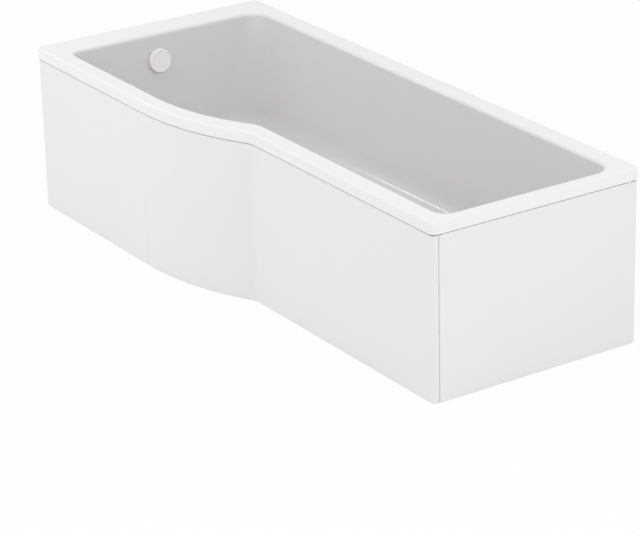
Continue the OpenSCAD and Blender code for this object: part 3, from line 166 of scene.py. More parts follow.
class BATH_PG_finish(bpy.types.PropertyGroup):
    acrylic: colour("Acrylic", (0.92, 0.898, 0.92), "The tub's acrylic")
    # Painted shade: the inside colour is a greyer copy of the acrylic that stands for the shade falling
    # inside the tub.
    inside: colour("Inside", (0.755, 0.74, 0.755), "The tub's acrylic inside")
    panel: colour("Panels", (0.875, 0.857, 0.875), "The panels' acrylic")
    white: colour("White fittings", (0.955, 0.94, 0.955), "The overflow's face and knob, and the plug")
    fibre: colour("Glass fibre", (0.66, 0.62, 0.47), "The backing's resin")
    strand: colour("Strands", (0.83, 0.81, 0.72), "The backing's glass strands")
    board: colour("Chipboard", (0.40, 0.27, 0.15), "The base board")
    timber: colour("Softwood", (0.56, 0.37, 0.19), "The battens")
    steel: colour("Zinc plate", (0.60, 0.60, 0.62), "Rods, nuts, screws and feet")
    galvanised: colour("Galvanised steel", (0.66, 0.67, 0.69), "The crossbars")
    dark: colour("Dark plastic", (0.030, 0.036, 0.046), "The waste and the overflow's housing")
    nut: colour("Nut plastic", (0.055, 0.060, 0.070), "The nuts that are turned by hand")
    trap: colour("Trap plastic", (0.105, 0.112, 0.135), "The trap and its outlet")
    cap: colour("Cap plastic", (0.13, 0.138, 0.165), "The cleaning cap and the outlet's nut")
    hose: colour("Hose", (0.085, 0.074, 0.090), "The ribbed hose")
    rubber: colour("Rubber", (0.012, 0.012, 0.014), "The seals")
    foam: colour("Foam", (0.62, 0.62, 0.65), "The flange's gasket")
    sheath: colour("Sheath", (0.50, 0.50, 0.53), "The pull cable's sheath")


class BATH_PG_studio(bpy.types.PropertyGroup):
    place: prop("Camera", (6.1712, -4.0452, 3.0563), "The camera's place", "FloatVector", unit="LENGTH")
    azimuth: degrees("Azimuth", 56.81, "Turn of the camera round the bath")
    elevation: degrees("Elevation", 22.488, "Height of the camera over the horizon")
    roll: degrees("Roll", -1.4, "Turn of the camera about its own axis")
    lens: prop("Lens", 162.8, "The lens in millimetres")
    ambient: share("Ambient light", 0.745, "Strength of the even light from all round")
    front: power("Front lamp", 37, "Power of the lamp before the front panel")
    side: power("Side lamp", 35, "Power of the lamp before the end panel")
    glint: power("Glint lamp", 2.6, "Power of the small lamp that draws the gloss along the tub's folds")
    floor: share("Floor's white", 0.955, "Share of the floor's plain white, over its shadow")


def settings(name):
    """The scene's settings in one of the groups."""
    return getattr(bpy.context.scene, "bath_" + name)


# Outlines and rings of points

CORNER_STEPS = 16
CURVE_STEPS = 72
BLEND_STEPS = 20
LINE_STEPS = 3  # points spread over a straight line of an outline
SHARPEST = 20  # a corner that is drawn in keeps one part in twenty of the rim's corner radius
GUARD = 4 * MM  # distance from an arc to the extra points that keep its shading off the flat


def arc(cx, cy, radius, start, end, steps=CORNER_STEPS):
    """Points on a circle about (cx, cy), from one angle in degrees to another in equal turns."""
    a = np.radians(np.linspace(start, end, steps + 1))
    return np.stack([cx + radius * np.cos(a), cy + radius * np.sin(a)], axis=1)


def between(p, q, spread):
    """Points of the straight line from p to q without its ends: one close to each end and the rest
    evenly spread."""
    near = GUARD / max(np.linalg.norm(q - p), 3 * GUARD)
    t = np.concatenate([[near], np.linspace(0, 1, spread + 2)[1:-1], [1 - near]])
    return p + (q - p) * np.sort(t)[:, None]


def chained(parts, closed=False, spread=LINE_STEPS):
    """Parts of an outline one after the other, with straight lines between their ends."""
    parts = [np.array(part, float) for part in parts]
    points = []
    for i, part in enumerate(parts):
        points.append(part)
        if i + 1 < len(parts) or closed:
            points.append(between(part[-1], parts[(i + 1) % len(parts)][0], spread))
    return np.concatenate(points)


def front_parts(left, right, front, step, curve_x, corner, outer, inner):
    """The front's arcs: the corner at the shower end, the outward and the inward curve as one, and the
    corner at the backrest end. The two curves turn through the angle whose cosine is one less the step
    over the sum of their radii."""
    turn = math.acos(1 - step / (outer + inner))
    swing = math.degrees(turn)
    out = arc(curve_x, front + outer, outer, 270, 270 + swing, CURVE_STEPS)
    back_x = curve_x + (outer + inner) * math.sin(turn)
    back = arc(back_x, front + step - inner, inner, 90 + swing, 90, BLEND_STEPS)
    return [arc(left + corner, front + corner, corner, 180, 270),
            np.concatenate([out, back[1:]]),
            arc(right - corner, front + step + corner, corner, 270, 360)]


def wall_parts(left, right, wall, corner):
    """The two corners on the wall side, from the backrest end to the shower end."""
    y = wall - corner
    return [arc(right - corner, y, corner, 0, 90), arc(left + corner, y, corner, 90, 180)]


def flat(points, z):
    """An outline's points at one height."""
    return np.column_stack([points, np.full(len(points), z)])


class TubForm:
    """The tub's outlines and rings, from its settings. An inset draws a shape in, and off moves a face
    out of the tub's inner face."""

    def __init__(self, spread=LINE_STEPS):
        t = settings("tub")
        self.t, self.spread = t, spread
        self.left, self.right = -t.long / 2, t.long / 2
        self.front, self.wall = -t.wide / 2, t.wide / 2
        self.step = t.wide - t.narrow
        self.curve_x = self.left + t.curve_start
        self.roll_z = t.rim - t.roll
        depth = self.roll_z - t.floor - t.fillet
        self.side_in, self.shower_in, self.rest_in = (
            depth * math.tan(slope) for slope in (t.side_draft, t.shower_draft, t.rest_slope))
        self.level_x = self.left + t.level
        self.flat_x = self.right - t.rest_rim - self.rest_in - t.fillet

    def corner(self, inset):
        """The rim's corner radius, drawn in."""
        return max(self.t.corner - inset, self.t.corner / SHARPEST)

    def front_edge(self, inset):
        """The parts of the rim's outline along the front."""
        return front_parts(self.left + inset, self.right - inset, self.front + inset, self.step, self.curve_x,
                           self.corner(inset), self.t.bulge - inset, self.t.blend + inset)

    def rim(self, inset):
        """The rim's outline, drawn in."""
        back = wall_parts(self.left + inset, self.right - inset, self.wall - inset, self.corner(inset))
        return chained(self.front_edge(inset) + back, True, self.spread)

    def inside(self, depth, inset):
        """The outline of the tub's inner face, at a share of the way down to the fillet."""
        t = self.t
        side = depth * self.side_in + inset
        left = self.left + t.shower_rim + depth * self.shower_in + inset
        right = self.right - t.rest_rim - depth * self.rest_in - inset
        near, far = (top + depth * (t.low_corner - top) - inset for top in (t.front_corner, t.wall_corner))
        front = front_parts(left, right, self.front + t.front_rim + side, self.step, self.curve_x, near,
                            t.inner_bulge - side, t.inner_blend + side)
        return chained(front + wall_parts(left, right, self.wall - t.wall_rim - side, far), True, self.spread)

    def face(self, off, wall_rows, fillet_rows, floor_rows, fall):
        """A face of the tub as rings from the floor's middle up to the roll: the floor's, drawn from one
        point out to the fillet; the fillet's, for angles a from 90° to 0, drawn in by r - (r + off)·cos a
        and (r + off)·sin a below its centre; and the walls', at shares of the way from the fillet up to
        the roll. The floor is level round the waste, and rises evenly by the fall from there to the
        backrest."""
        r = self.t.fillet

        def floor_at(p):
            rise = (p[:, 0] - self.level_x) / (self.flat_x - self.level_x)
            return self.t.floor + fall * np.clip(rise, 0, None)

        def down_from(start, rows):
            return np.linspace(start, 0, rows + 1)

        edge = self.inside(1, r)
        middle = np.array([(self.level_x + self.flat_x) / 2, 0])
        drawn = [edge + (middle - edge) * t for t in down_from(1, floor_rows)[:-1]]
        rings = [np.column_stack([p, floor_at(p) - off]) for p in drawn]
        for a in down_from(math.pi / 2, fillet_rows)[:-1]:
            p = self.inside(1, r - (r + off) * math.cos(a))
            rings.append(np.column_stack([p, floor_at(p) + r - (r + off) * math.sin(a)]))
        for depth in down_from(1, wall_rows):
            p = self.inside(depth, -off)
            rings.append(np.column_stack([p, self.roll_z + depth * (floor_at(p) + r - self.roll_z)]))
        return rings


# Meshes

WELD = 0.001 * MM
FOLD = 35  # edges that turn by more degrees stay sharp


def faces_of(rows, columns, wrap_rows, wrap_columns, first):
    """Quads of a grid whose point (row, column) has the number first + row·columns + column."""
    i, j = np.meshgrid(np.arange(rows if wrap_rows else rows - 1),
                       np.arange(columns if wrap_columns else columns - 1), indexing="ij")
    a, b = (i % rows) * columns, ((i + 1) % rows) * columns
    c, d = j % columns, (j + 1) % columns
    return np.stack([a + c, a + d, b + d, b + c], axis=-1).reshape(-1, 4) + first


class Shape:
    """Grids of points and single faces, gathered for one mesh."""

    def __init__(self):
        self.points, self.quads, self.caps, self.count, self.painted_shade_share = [], [], [], 0, []

    def grid(self, rings, wrap_rows=False, wrap_columns=True, caps=False, inside=None):
        """Adds a surface through rings of equal count. With caps the open ends of its columns are closed. The
        list inside tells each ring's share of the painted shade, a greyer colour that stands for the shade
        inside the tub."""
        rings = np.asarray(rings, float)
        rows, columns = rings.shape[:2]
        self.painted_shade_share.append(np.repeat(np.zeros(rows) if inside is None else inside, columns))
        self.points.append(rings.reshape(-1, 3))
        self.quads.append(faces_of(rows, columns, wrap_rows, wrap_columns, self.count))
        if caps:
            first = self.count + np.arange(rows) * columns
            self.caps += [list(first[::-1]), list(first + columns - 1)]
        self.count += rows * columns
        return self

    def made(self, name, sharp=FOLD):
        """A mesh object at the origin, welded, with its faces outwards, smooth but for its sharp edges."""
        mesh = bpy.data.meshes.new(name)
        faces = np.concatenate(self.quads).tolist() + self.caps
        mesh.from_pydata(np.concatenate(self.points).tolist(), [], faces)
        # The inside attribute holds painted shade: each point's share of the greyer colour that stands for
        # the shade inside the tub.
        painted_shade_share = np.concatenate(self.painted_shade_share)
        if painted_shade_share.any():
            mesh.attributes.new("inside", "FLOAT", "POINT").data.foreach_set("value", painted_shade_share)
        work = bmesh.new()
        work.from_mesh(mesh)
        bmesh.ops.remove_doubles(work, verts=work.verts, dist=WELD)
        bmesh.ops.dissolve_degenerate(work, edges=work.edges, dist=WELD)
        bmesh.ops.recalc_face_normals(work, faces=work.faces)
        work.to_mesh(mesh)
        work.free()
        mesh.shade_smooth()
        mesh.set_sharp_from_angle(angle=math.radians(sharp))
        return placed(name, mesh)


def placed(name, data):
    """A new object of a mesh, a lamp or a camera, in the scene."""
    made = bpy.data.objects.new(name, data)
    bpy.context.scene.collection.objects.link(made)
    return made


def combined(target, tool, operation):
    """Joins a tool to the target or cuts it out of the target, and removes the tool."""
    change = target.modifiers.new(operation, "BOOLEAN")
    change.operation, change.object, change.solver = operation, tool, "EXACT"
    depsgraph = bpy.context.evaluated_depsgraph_get()
    mesh = bpy.data.meshes.new_from_object(target.evaluated_get(depsgraph))
    target.modifiers.clear()
    target.data = mesh
    bpy.data.objects.remove(tool)


def stand(origin, up=(0, 0, 1), across=(1, 0, 0)):
    """A place that shapes are made at: an origin, and the directions of its X, Y and Z axes."""
    z = Vector(up).normalized()
    x = (Vector(across) - z * Vector(across).dot(z)).normalized()
    return np.array(origin, float), np.array([x, z.cross(x), z])


def full_turn(sides):
    """Angles of one turn in equal steps, without its end."""
    return np.linspace(0, 2 * math.pi, sides, endpoint=False)


def round_axis(place, radius, a, z):
    """Points (radius·cos a, radius·sin a, z) in a place's axes, from arrays of all three."""
    origin, axes = place
    points = np.stack([radius * np.cos(a), radius * np.sin(a), np.broadcast_to(z, radius.shape)], axis=-1)
    return origin + points @ axes


def turned(profile, place, sides, notch=None):
    """Rings of a profile turned about Z. A profile point is (radius, height) or (radius, height, grip),
    and a notch function of the angle takes its share of the grip away from the radius."""
    p = np.array([(*q, 0) if len(q) == 2 else q for q in profile], float)
    radius, z, grip = p.T[:, :, None]
    a = full_turn(sides)
    return round_axis(place, radius - grip * (notch(a) if notch else np.zeros(sides)), a, z)


def rounded(points, radius, steps=4):
    """A closed outline whose corners are rounded: each corner gives way to a parabola from the radius
    before it to the radius after it."""
    p = np.array(points, float)
    made = []
    for before, here, after in zip(np.roll(p, 1, axis=0), p, np.roll(p, -1, axis=0)):
        into, out = here - before, after - here
        r = min(radius, np.linalg.norm(into) / 2, np.linalg.norm(out) / 2)
        a, b = here - into / np.linalg.norm(into) * r, here + out / np.linalg.norm(out) * r
        t = np.linspace(0, 1, steps + 1)[:, None]
        made.append((1 - t) ** 2 * a + 2 * t * (1 - t) * here + t ** 2 * b)
    return np.concatenate(made)


def dressed(mesh, kind):
    """Gives a mesh one finish, in place of what it has."""
    mesh.materials.clear()
    mesh.materials.append(finish(kind))


def finish_piece(piece, kind, node, body="bath"):
    """Gives a piece and its CAD node their finish, and the piece its body, and lets it stand for the node."""
    dressed(piece.data, kind)
    dressed(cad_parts[node].data, kind)
    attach(piece, body)
    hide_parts(node)
    return piece


# Shader nodes

def sum_of(operation, swapped=False):
    """A method that adds the Math node of an operation and gives back its output."""
    def method(self, other):
        values = (other, self) if swapped else (self, other)
        return self.sheet.add("Math", enumerate(values), operation=operation)
    return method


class Wire:
    """A node's output that takes part in sums."""

    def __init__(self, sheet, socket):
        self.sheet, self.socket = sheet, socket

    __add__, __radd__ = sum_of("ADD"), sum_of("ADD", True)
    __sub__, __rsub__ = sum_of("SUBTRACT"), sum_of("SUBTRACT", True)
    __mul__, __rmul__ = sum_of("MULTIPLY"), sum_of("MULTIPLY", True)
    larger = sum_of("MAXIMUM")


class Sheet:
    """The nodes of one material or world."""

    def __init__(self, owner):
        owner.use_nodes = True
        self.owner, self.tree = owner, owner.node_tree
        self.tree.nodes.clear()

    def add(self, kind, values=(), output=0, **choices):
        """Adds a node of a type, sets its choices first, fills its sockets with numbers or wires, and
        gives back one of its outputs. The choice stops fills a ramp with (place, colour) pairs."""
        node = self.tree.nodes.new("ShaderNode" + kind)
        for name, value in choices.items():
            if name == "stops":
                ramp = node.color_ramp.elements
                while len(ramp) < len(value):
                    ramp.new(1)
                for element, stop in zip(ramp, value):
                    element.position, element.color = stop
            else:
                setattr(node, name, value)
        for key, value in dict(values).items():
            if isinstance(value, Wire):
                self.tree.links.new(value.socket, node.inputs[key])
            else:
                node.inputs[key].default_value = value
        return Wire(self, node.outputs[output]) if node.outputs else None

    def place(self, stretch=(1, 1, 1), turn=(0, 0, 0)):
        """The object's own coordinates, turned and then stretched."""
        at = self.add("TexCoord", output="Object")
        scale = [1 / k for k in stretch]
        return self.add("Mapping", {"Vector": at, "Rotation": turn, "Scale": scale}, vector_type="TEXTURE")

    def noise(self, scale, at=None, detail=3, rough=0.5):
        return self.add("TexNoise", {
            "Vector": at or self.place(), "Scale": scale, "Detail": detail, "Roughness": rough})

    def cells(self, scale, at=None, output="Color"):
        return self.add("TexVoronoi", {"Vector": at or self.place(), "Scale": scale}, output)

    def first_part(self, shade):
        """The red part of a colour, as a number."""
        return self.add("SeparateColor", {"Color": shade})

    def mapped(self, value, low, high, to_low=0, to_high=1):
        """A value taken from one range to another and kept inside it."""
        return self.add("MapRange", {
            "Value": value, "From Min": low, "From Max": high, "To Min": to_low, "To Max": to_high})

    def mixed(self, factor, a, b):
        """Two colours mixed by a factor."""
        return self.add("Mix", {0: factor, 6: a, 7: b}, output=2, data_type="RGBA")

    def varied(self, factor, shade, start, end):
        """A colour of the settings, changed by a share that a factor takes from start to end."""
        return self.mixed(factor, paint(shade, start), paint(shade, end))

    def ramp(self, factor, shade, *stops):
        """A colour of the settings through stops of a place and a change."""
        painted = [(at, paint(shade, change)) for at, change in stops]
        return self.add("ValToRGB", {"Fac": factor}, stops=painted)

    def bump(self, height, distance):
        return self.add("Bump", {"Height": height, "Distance": distance})

    def surface(self, **values):
        """The surface's own shader, with a socket for each name: Base_Color stands for Base Color."""
        return self.add("BsdfPrincipled", {k.replace("_", " "): v for k, v in values.items()})

    def plainly_seen(self):
        """1 where the camera looks, also by way of a mirror image or through something clear."""
        camera, mirror, clear = (self.add("LightPath", output=f"Is {ray} Ray")
                                 for ray in ("Camera", "Glossy", "Transmission"))
        return camera.larger(mirror).larger(clear)

    def shaders_mixed(self, factor, a, b):
        return self.add("MixShader", {0: factor, 1: a, 2: b})

    def close(self, shader, kind="Material"):
        """Leads a shader to the output of a material or a world."""
        self.add("Output" + kind, {"Surface": shader})
        return self.owner


def paint(name, change=0.0):
    """A colour of the settings with its alpha, darkened or lightened by a share."""
    return (*(min(1, c * (1 + change)) for c in getattr(settings("finish"), name)), 1)


def gloss_acrylic(s, shade, ripple, inside=None):
    """Polished acrylic: a hair's breadth of colour drift, wipe marks in the gloss and a faint ripple. A
    painted shade for the inside, a greyer colour that stands for the shade inside the tub, takes over where
    the mesh says so."""
    drift = s.noise(2.5, detail=4)
    skin_colour = s.varied(drift, shade, -0.012, 0.008)
    if inside:
        # Painted shade: the mesh's inside share mixes in the greyer colour that stands for the shade inside
        # the tub.
        painted_shade_mask = s.add("Attribute", output="Fac", attribute_name="inside")
        skin_colour = s.mixed(painted_shade_mask, skin_colour, s.varied(drift, inside, -0.012, 0.008))
    wipes = s.noise(9, s.place(stretch=(1, 6, 2), turn=(0.3, 0.2, 0.7)), detail=6, rough=0.65)
    skin = s.noise(170, detail=1)
    return s.surface(
        Base_Color=skin_colour,
        Roughness=s.mapped(wipes, 0.35, 0.7, 0.09, 0.19),
        Normal=s.bump(skin, ripple),
        IOR=1.49, Specular_IOR_Level=0.5)


# The ways that the layers of strands lie, as turns about X, Y and Z.
STRAND_TURNS = ((0, 0.3, 0), (0, 1.1, 0.5), (0.4, 1.9, 1.2), (0.9, 2.7, 2.0), (1.3, 0.6, 2.6))


def glass_fibre(s):
    """Sprayed glass fibre: chopped strands that lie every way in a yellowish resin, under a rough skin."""
    layers = [s.mapped(s.noise(60, s.place(stretch=(0.35, 5, 5), turn=turn), detail=2), 0.60, 0.68)
              for turn in STRAND_TURNS]
    strands = functools.reduce(Wire.larger, layers)
    pools = s.noise(14, detail=3)
    lumps = s.noise(90, detail=4, rough=0.6)
    return s.surface(
        Base_Color=s.mixed(strands * 0.6, s.varied(pools, "fibre", -0.16, 0.10), paint("strand")),
        Roughness=s.mapped(pools, 0.3, 0.7, 0.42, 0.66),
        Normal=s.bump(strands * 0.5 + lumps, 0.9 * MM))


def chipboard(s):
    """Pressed chips: small cells, each with a shade of its own, and a few dark and pale ones."""
    at = s.place(stretch=(1, 1.6, 3))
    tone = s.first_part(s.cells(230, at))
    return s.surface(
        Base_Color=s.ramp(tone, "board", (0.0, -0.45), (0.25, -0.1), (0.75, 0.3), (1.0, 0.95)),
        Roughness=s.mapped(tone, 0, 1, 0.72, 0.9),
        Normal=s.bump(s.cells(230, at, "Distance"), 0.3 * MM))


def softwood(s, along_x):
    """Sawn softwood: growth rings drawn out along the grain, fine fibres and the saw's marks."""
    long_way = (1.2, 22, 22) if along_x else (22, 1.2, 22)
    saw_way = (400, 3, 3) if along_x else (3, 400, 3)
    rings = s.noise(2.2, s.place(stretch=long_way), detail=3, rough=0.45)
    fibres = s.noise(14, s.place(stretch=long_way), detail=5, rough=0.7)
    saw = s.noise(1, s.place(stretch=saw_way), detail=2)
    return s.surface(
        Base_Color=s.ramp(rings * 0.8 + fibres * 0.2, "timber",
                          (0.30, 0.25), (0.48, 0.02), (0.56, -0.28), (0.66, 0.15)),
        Roughness=s.mapped(fibres, 0.3, 0.7, 0.62, 0.82),
        Normal=s.bump(fibres * 0.6 + saw * 0.4, 0.35 * MM))


def zinc(s, shade, spangle, polish):
    """Zinc: crystals that differ a little in tone and gloss, and a dull film with small specks."""
    crystal = s.first_part(s.cells(spangle))
    film = s.noise(35, detail=5, rough=0.6)
    tone = crystal * 0.55 + film * 0.45
    return s.surface(
        Base_Color=s.varied(tone, shade, -0.16, 0.14),
        Metallic=s.mapped(film, 0.62, 0.75, 1, 0.85),
        Roughness=s.mapped(tone, 0.2, 0.8, polish, polish + 0.18),
        Normal=s.bump(s.noise(900, detail=2), 0.03 * MM))


def moulded(s, shade, gloss, grain):
    """Moulded plastic: a fine grain, slightly uneven gloss and a little dust in its tone."""
    dust = s.noise(28, detail=5, rough=0.62)
    return s.surface(
        Base_Color=s.varied(s.mapped(dust, 0.45, 0.75), shade, -0.06, 0.35),
        Roughness=s.mapped(dust, 0.3, 0.7, gloss, gloss + 0.14),
        Normal=s.bump(s.noise(1500, detail=1), grain))


def rubber(s, shade):
    """Rubber: dull, with a fine grain and a bloom of talc in patches."""
    bloom = s.noise(60, detail=4, rough=0.6)
    return s.surface(
        Base_Color=s.varied(s.mapped(bloom, 0.5, 0.8), shade, 0.0, 1.6),
        Roughness=s.mapped(bloom, 0.3, 0.7, 0.62, 0.82),
        Normal=s.bump(s.noise(700, detail=2), 0.08 * MM))


# Each finish: its material's name, its recipe and what the recipe is told.
FINISHES = {
    # The acrylic's inside colour is painted shade for the tub's inner faces.
    "acrylic": ("tub_acrylic", gloss_acrylic, "acrylic", 0.010 * MM, "inside"),
    "panel": ("panel_acrylic", gloss_acrylic, "panel", 0.016 * MM),
    "white": ("white_plastic", gloss_acrylic, "white", 0.006 * MM),
    "fibre": ("glass_fibre", glass_fibre),
    "board": ("chipboard", chipboard),
    "timber_x": ("softwood_lengthwise", softwood, True),
    "timber_y": ("softwood_crosswise", softwood, False),
    "steel": ("zinc_plate", zinc, "steel", 420, 0.26),
    "galvanised": ("galvanised_steel", zinc, "galvanised", 75, 0.30),
    "dark": ("dark_plastic", moulded, "dark", 0.34, 0.03 * MM),
    "nut": ("nut_plastic", moulded, "nut", 0.36, 0.03 * MM),
    "trap": ("trap_plastic", moulded, "trap", 0.38, 0.04 * MM),
    "cap": ("cap_plastic", moulded, "cap", 0.38, 0.03 * MM),
    "hose": ("hose_plastic", moulded, "hose", 0.40, 0.02 * MM),
    "sheath": ("cable_sheath", moulded, "sheath", 0.42, 0.02 * MM),
    "rubber": ("seal_rubber", rubber, "rubber"),
    "foam": ("gasket_foam", rubber, "foam"),
}


@functools.cache
def finish(kind):
    """A finish by name, made the first time that it is asked for."""
    name, recipe, *told = FINISHES[kind]
    sheet = Sheet(bpy.data.materials.new(name))
    return sheet.close(recipe(sheet, *told))


# Places that the fittings share

UNION_Z = 99.8 * MM  # height of the union on the waste's body, which takes the hose
UNION_REACH = 54 * MM  # from the waste's axis to the union's end
SPOUT = 43.2 * MM  # from the overflow's axis down to the end of its spout
SPOUT_BACK = 47 * MM  # from the tub's face back to the spout's axis


def node_middle(node):
    """The middle of a CAD node's box."""
    low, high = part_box(node)
    return (low + high) / 2


def waste_place(z):
    """The point of the waste's axis at a height."""
    f, t = settings("fittings"), settings("tub")
    return np.array([-t.long / 2 + f.waste_from, -f.waste_off, z])


def overflow_place():
    """The overflow's centre on the tub's face, and the way that its axis points into the tub."""
    f, t = settings("fittings"), settings("tub")
    z = t.rim - f.overflow_drop
    x = -t.long / 2 + t.shower_rim + (t.rim - t.roll - z) * math.tan(t.shower_draft)
    return np.array([x, -f.waste_off, z]), (math.cos(t.shower_draft), 0, math.sin(t.shower_draft))


def on_overflow(out, up):
    """A place in the overflow's own axes: out of the wall into the tub, and up along the wall."""
    origin, axis = overflow_place()
    x, z = axis[0], axis[2]
    return origin + np.array([out * x - up * z, 0, out * z + up * x])


# The camera

SENSOR = 36  # the sensor's width in millimetres
FARTHEST = 100  # the camera sees this far, in metres


class BATH_OT_camera(bpy.types.Operator):
    """Sets the camera where the photograph was taken from"""
    bl_idname = "bath.camera"
    bl_label = "Camera"

    def execute(self, context):
        s = settings("studio")
        data = bpy.data.cameras.new("camera")
        data.lens, data.sensor_width, data.clip_end = s.lens, SENSOR, FARTHEST
        data.dof.use_dof = False
        camera = placed("camera", data)
        aim = Euler((math.pi / 2 - s.elevation, 0, s.azimuth)).to_matrix() @ Matrix.Rotation(s.roll, 3, "Z")
        camera.matrix_world = Matrix.Translation(s.place) @ aim.to_4x4()
        context.scene.camera = camera
        return {"FINISHED"}


# The hose

# Places of the route between the hose's straight ends: the share of the way along X, of the sway to the
# front and of the height that is left.
HOSE_ROUTE_SHARES = [
    (-0.026, 0.09, 0.841), (-0.042, 0.36, 0.672), (-0.021, 0.67, 0.508), (0.038, 0.91, 0.347),
    (0.144, 1, 0.204), (0.298, 0.91, 0.092), (0.479, 0.67, 0.027), (0.665, 0.36, 0.005), (0.841, 0.11, 0.001)]
HOSE_SWAY = 45 * MM
CUFF = 28 * MM  # length of the hose's straight end in its nut
HOSE_SIDES = 32
HOSE_BORE = 10 * MM
RIB_RINGS = 8  # rings to each rib
CREST = 0.55  # below 1 it widens the ribs' crests
ROUTE_STEPS = 16  # points between two places of the route
BORE_RINGS = 90
PATH_POINTS = 60
CABLE_RADIUS = 2.5 * MM
CABLE_ASIDE = 4.3 * MM  # from the hose's middle line to the cable's
CABLE_TOP = 12.3 * MM  # the cable starts this far under the overflow's axis
CABLE_END = 16.5 * MM  # and ends this far before the waste's axis
CABLE_RINGS = 120
CABLE_SIDES = 12


def unit(v):
    """Vectors at length 1, along the last axis of an array."""
    return v / np.linalg.norm(v, axis=-1, keepdims=True)


class HoseRoute:
    """The hose's middle line: straight out of the overflow's spout, through the places of its route on
    one smooth curve, and straight into the waste's union."""

    def __init__(self):
        self.start, start_in = (on_overflow(-SPOUT_BACK, -SPOUT - cuff) for cuff in (0, CUFF))
        self.end = waste_place(UNION_Z) - (UNION_REACH, 0, 0)
        a, b = start_in, self.end - (CUFF, 0, 0)
        route = [(a[0] + s * (b[0] - a[0]), a[1] - w * HOSE_SWAY, b[2] + h * (a[2] - b[2]))
                 for s, w, h in HOSE_ROUTE_SHARES]
        knots = np.array([self.start, a, *route, b, self.end])
        t = np.linspace(0, 1, ROUTE_STEPS, endpoint=False)[:, None]
        line = [self.start[None]]
        # From knot b to knot c runs a cubic curve that starts along (c - a) / 2 and ends along (d - b) / 2.
        for a, b, c, d in zip(knots, knots[1:], knots[2:], knots[3:]):
            line.append((2 * b + (c - a) * t + (2 * a - 5 * b + 4 * c - d) * t ** 2
                         + (3 * b - a - 3 * c + d) * t ** 3) / 2)
        self.line = np.concatenate([*line, knots[-2:]])
        self.run = np.concatenate([[0], np.cumsum(np.linalg.norm(np.diff(self.line, axis=0), axis=1))])
        self.long = self.run[-1]

    def at(self, s):
        """Places at distances along the line."""
        return np.stack([np.interp(s, self.run, self.line[:, k]) for k in range(3)], axis=-1)

    def rings(self, s, radius, sides, shift=(0, 0, 0)):
        """Circles square to the line at distances along it, each with its own radius. The line's way at
        a distance is taken from a quarter of a cuff before it to a quarter of a cuff after it."""
        step = CUFF / 4
        ahead = unit(self.at(np.minimum(s + step, self.long)) - self.at(np.maximum(s - step, 0)))
        across = unit(np.cross(np.array([0.0, 1.0, 0.0]), ahead))
        up = np.cross(ahead, across)
        a = full_turn(sides)
        spokes = across[:, None] * np.cos(a)[:, None] + up[:, None] * np.sin(a)[:, None]
        return (self.at(s) + np.array(shift))[:, None] + spokes * np.reshape(radius, (-1, 1, 1))


def rib_radius(turn):
    """The hose's radius, one rib to a turn: a cosine wave to the power CREST, which makes the crests wide
    and flat and the grooves narrow."""
    f = settings("fittings")
    wave = 0.5 + 0.5 * np.cos(2 * math.pi * turn)
    return f.hose_valley + (f.hose - f.hose_valley) * wave ** CREST


class BATH_OT_hose(bpy.types.Operator):
    """Makes the ribbed overflow hose and the pull cable in it"""
    bl_idname = "bath.hose"
    bl_label = "Hose and cable"

    def execute(self, context):
        f, route = settings("fittings"), HoseRoute()
        turn = np.linspace(-0.5, f.ribs - 0.5, f.ribs * RIB_RINGS + 1)
        ribbed = CUFF + (turn + 0.5) / f.ribs * (route.long - 2 * CUFF)
        s = np.concatenate([[0], ribbed, [route.long]])
        radius = np.concatenate([[f.hose], rib_radius(turn), [f.hose]])
        radius[1] = radius[-2] = f.hose
        outside = route.rings(s, radius, HOSE_SIDES)
        bore = route.rings(np.linspace(route.long, 0, BORE_RINGS), np.full(BORE_RINGS, HOSE_BORE), HOSE_SIDES)
        shape = Shape().grid(np.concatenate([outside, bore]), wrap_rows=True)
        hose = finish_piece(shape.made("ribbed_hose", sharp=60), "hose", "overflow_hose")
        path = route.at(np.linspace(0, route.long, PATH_POINTS))

        shift = (0, CABLE_ASIDE, 0)
        top = on_overflow(-SPOUT_BACK, -CABLE_TOP) + shift
        end = waste_place(UNION_Z) - (CABLE_END, -CABLE_ASIDE, 0)
        middle = route.rings(np.linspace(0, route.long, CABLE_RINGS), np.full(CABLE_RINGS, CABLE_RADIUS),
                             CABLE_SIDES, shift)
        first = middle[0] + (top - route.start - shift)
        last = middle[-1] + (end - route.end - shift)
        rings = [np.broadcast_to(top, first.shape), first, *middle, last, np.broadcast_to(end, last.shape)]
        cable = Shape().grid(rings).made("bowden_cable")
        finish_piece(cable, "sheath", "pull_cable")
        return {"FINISHED"}


# The tub

ROUND_STEPS = 8
RIM_SHARES = (0.06, 0.5, 0.94)  # rings on the rim's flat top, from the roll to the rounded edge
LIP_SOFT = 1.2 * MM  # radius of the lip's lower edge outside
BORE_SIDES = 96


def quarter_round(outline, radius, z, angles, way=-1):
    """Rings of a quarter round of radius r: for each angle a an outline drawn in by r·(1 - cos a), at
    r·(1 - sin a) below z, or above it where the way is 1."""
    return [flat(outline(radius * (1 - math.cos(a))), z + way * radius * (1 - math.sin(a))) for a in angles]


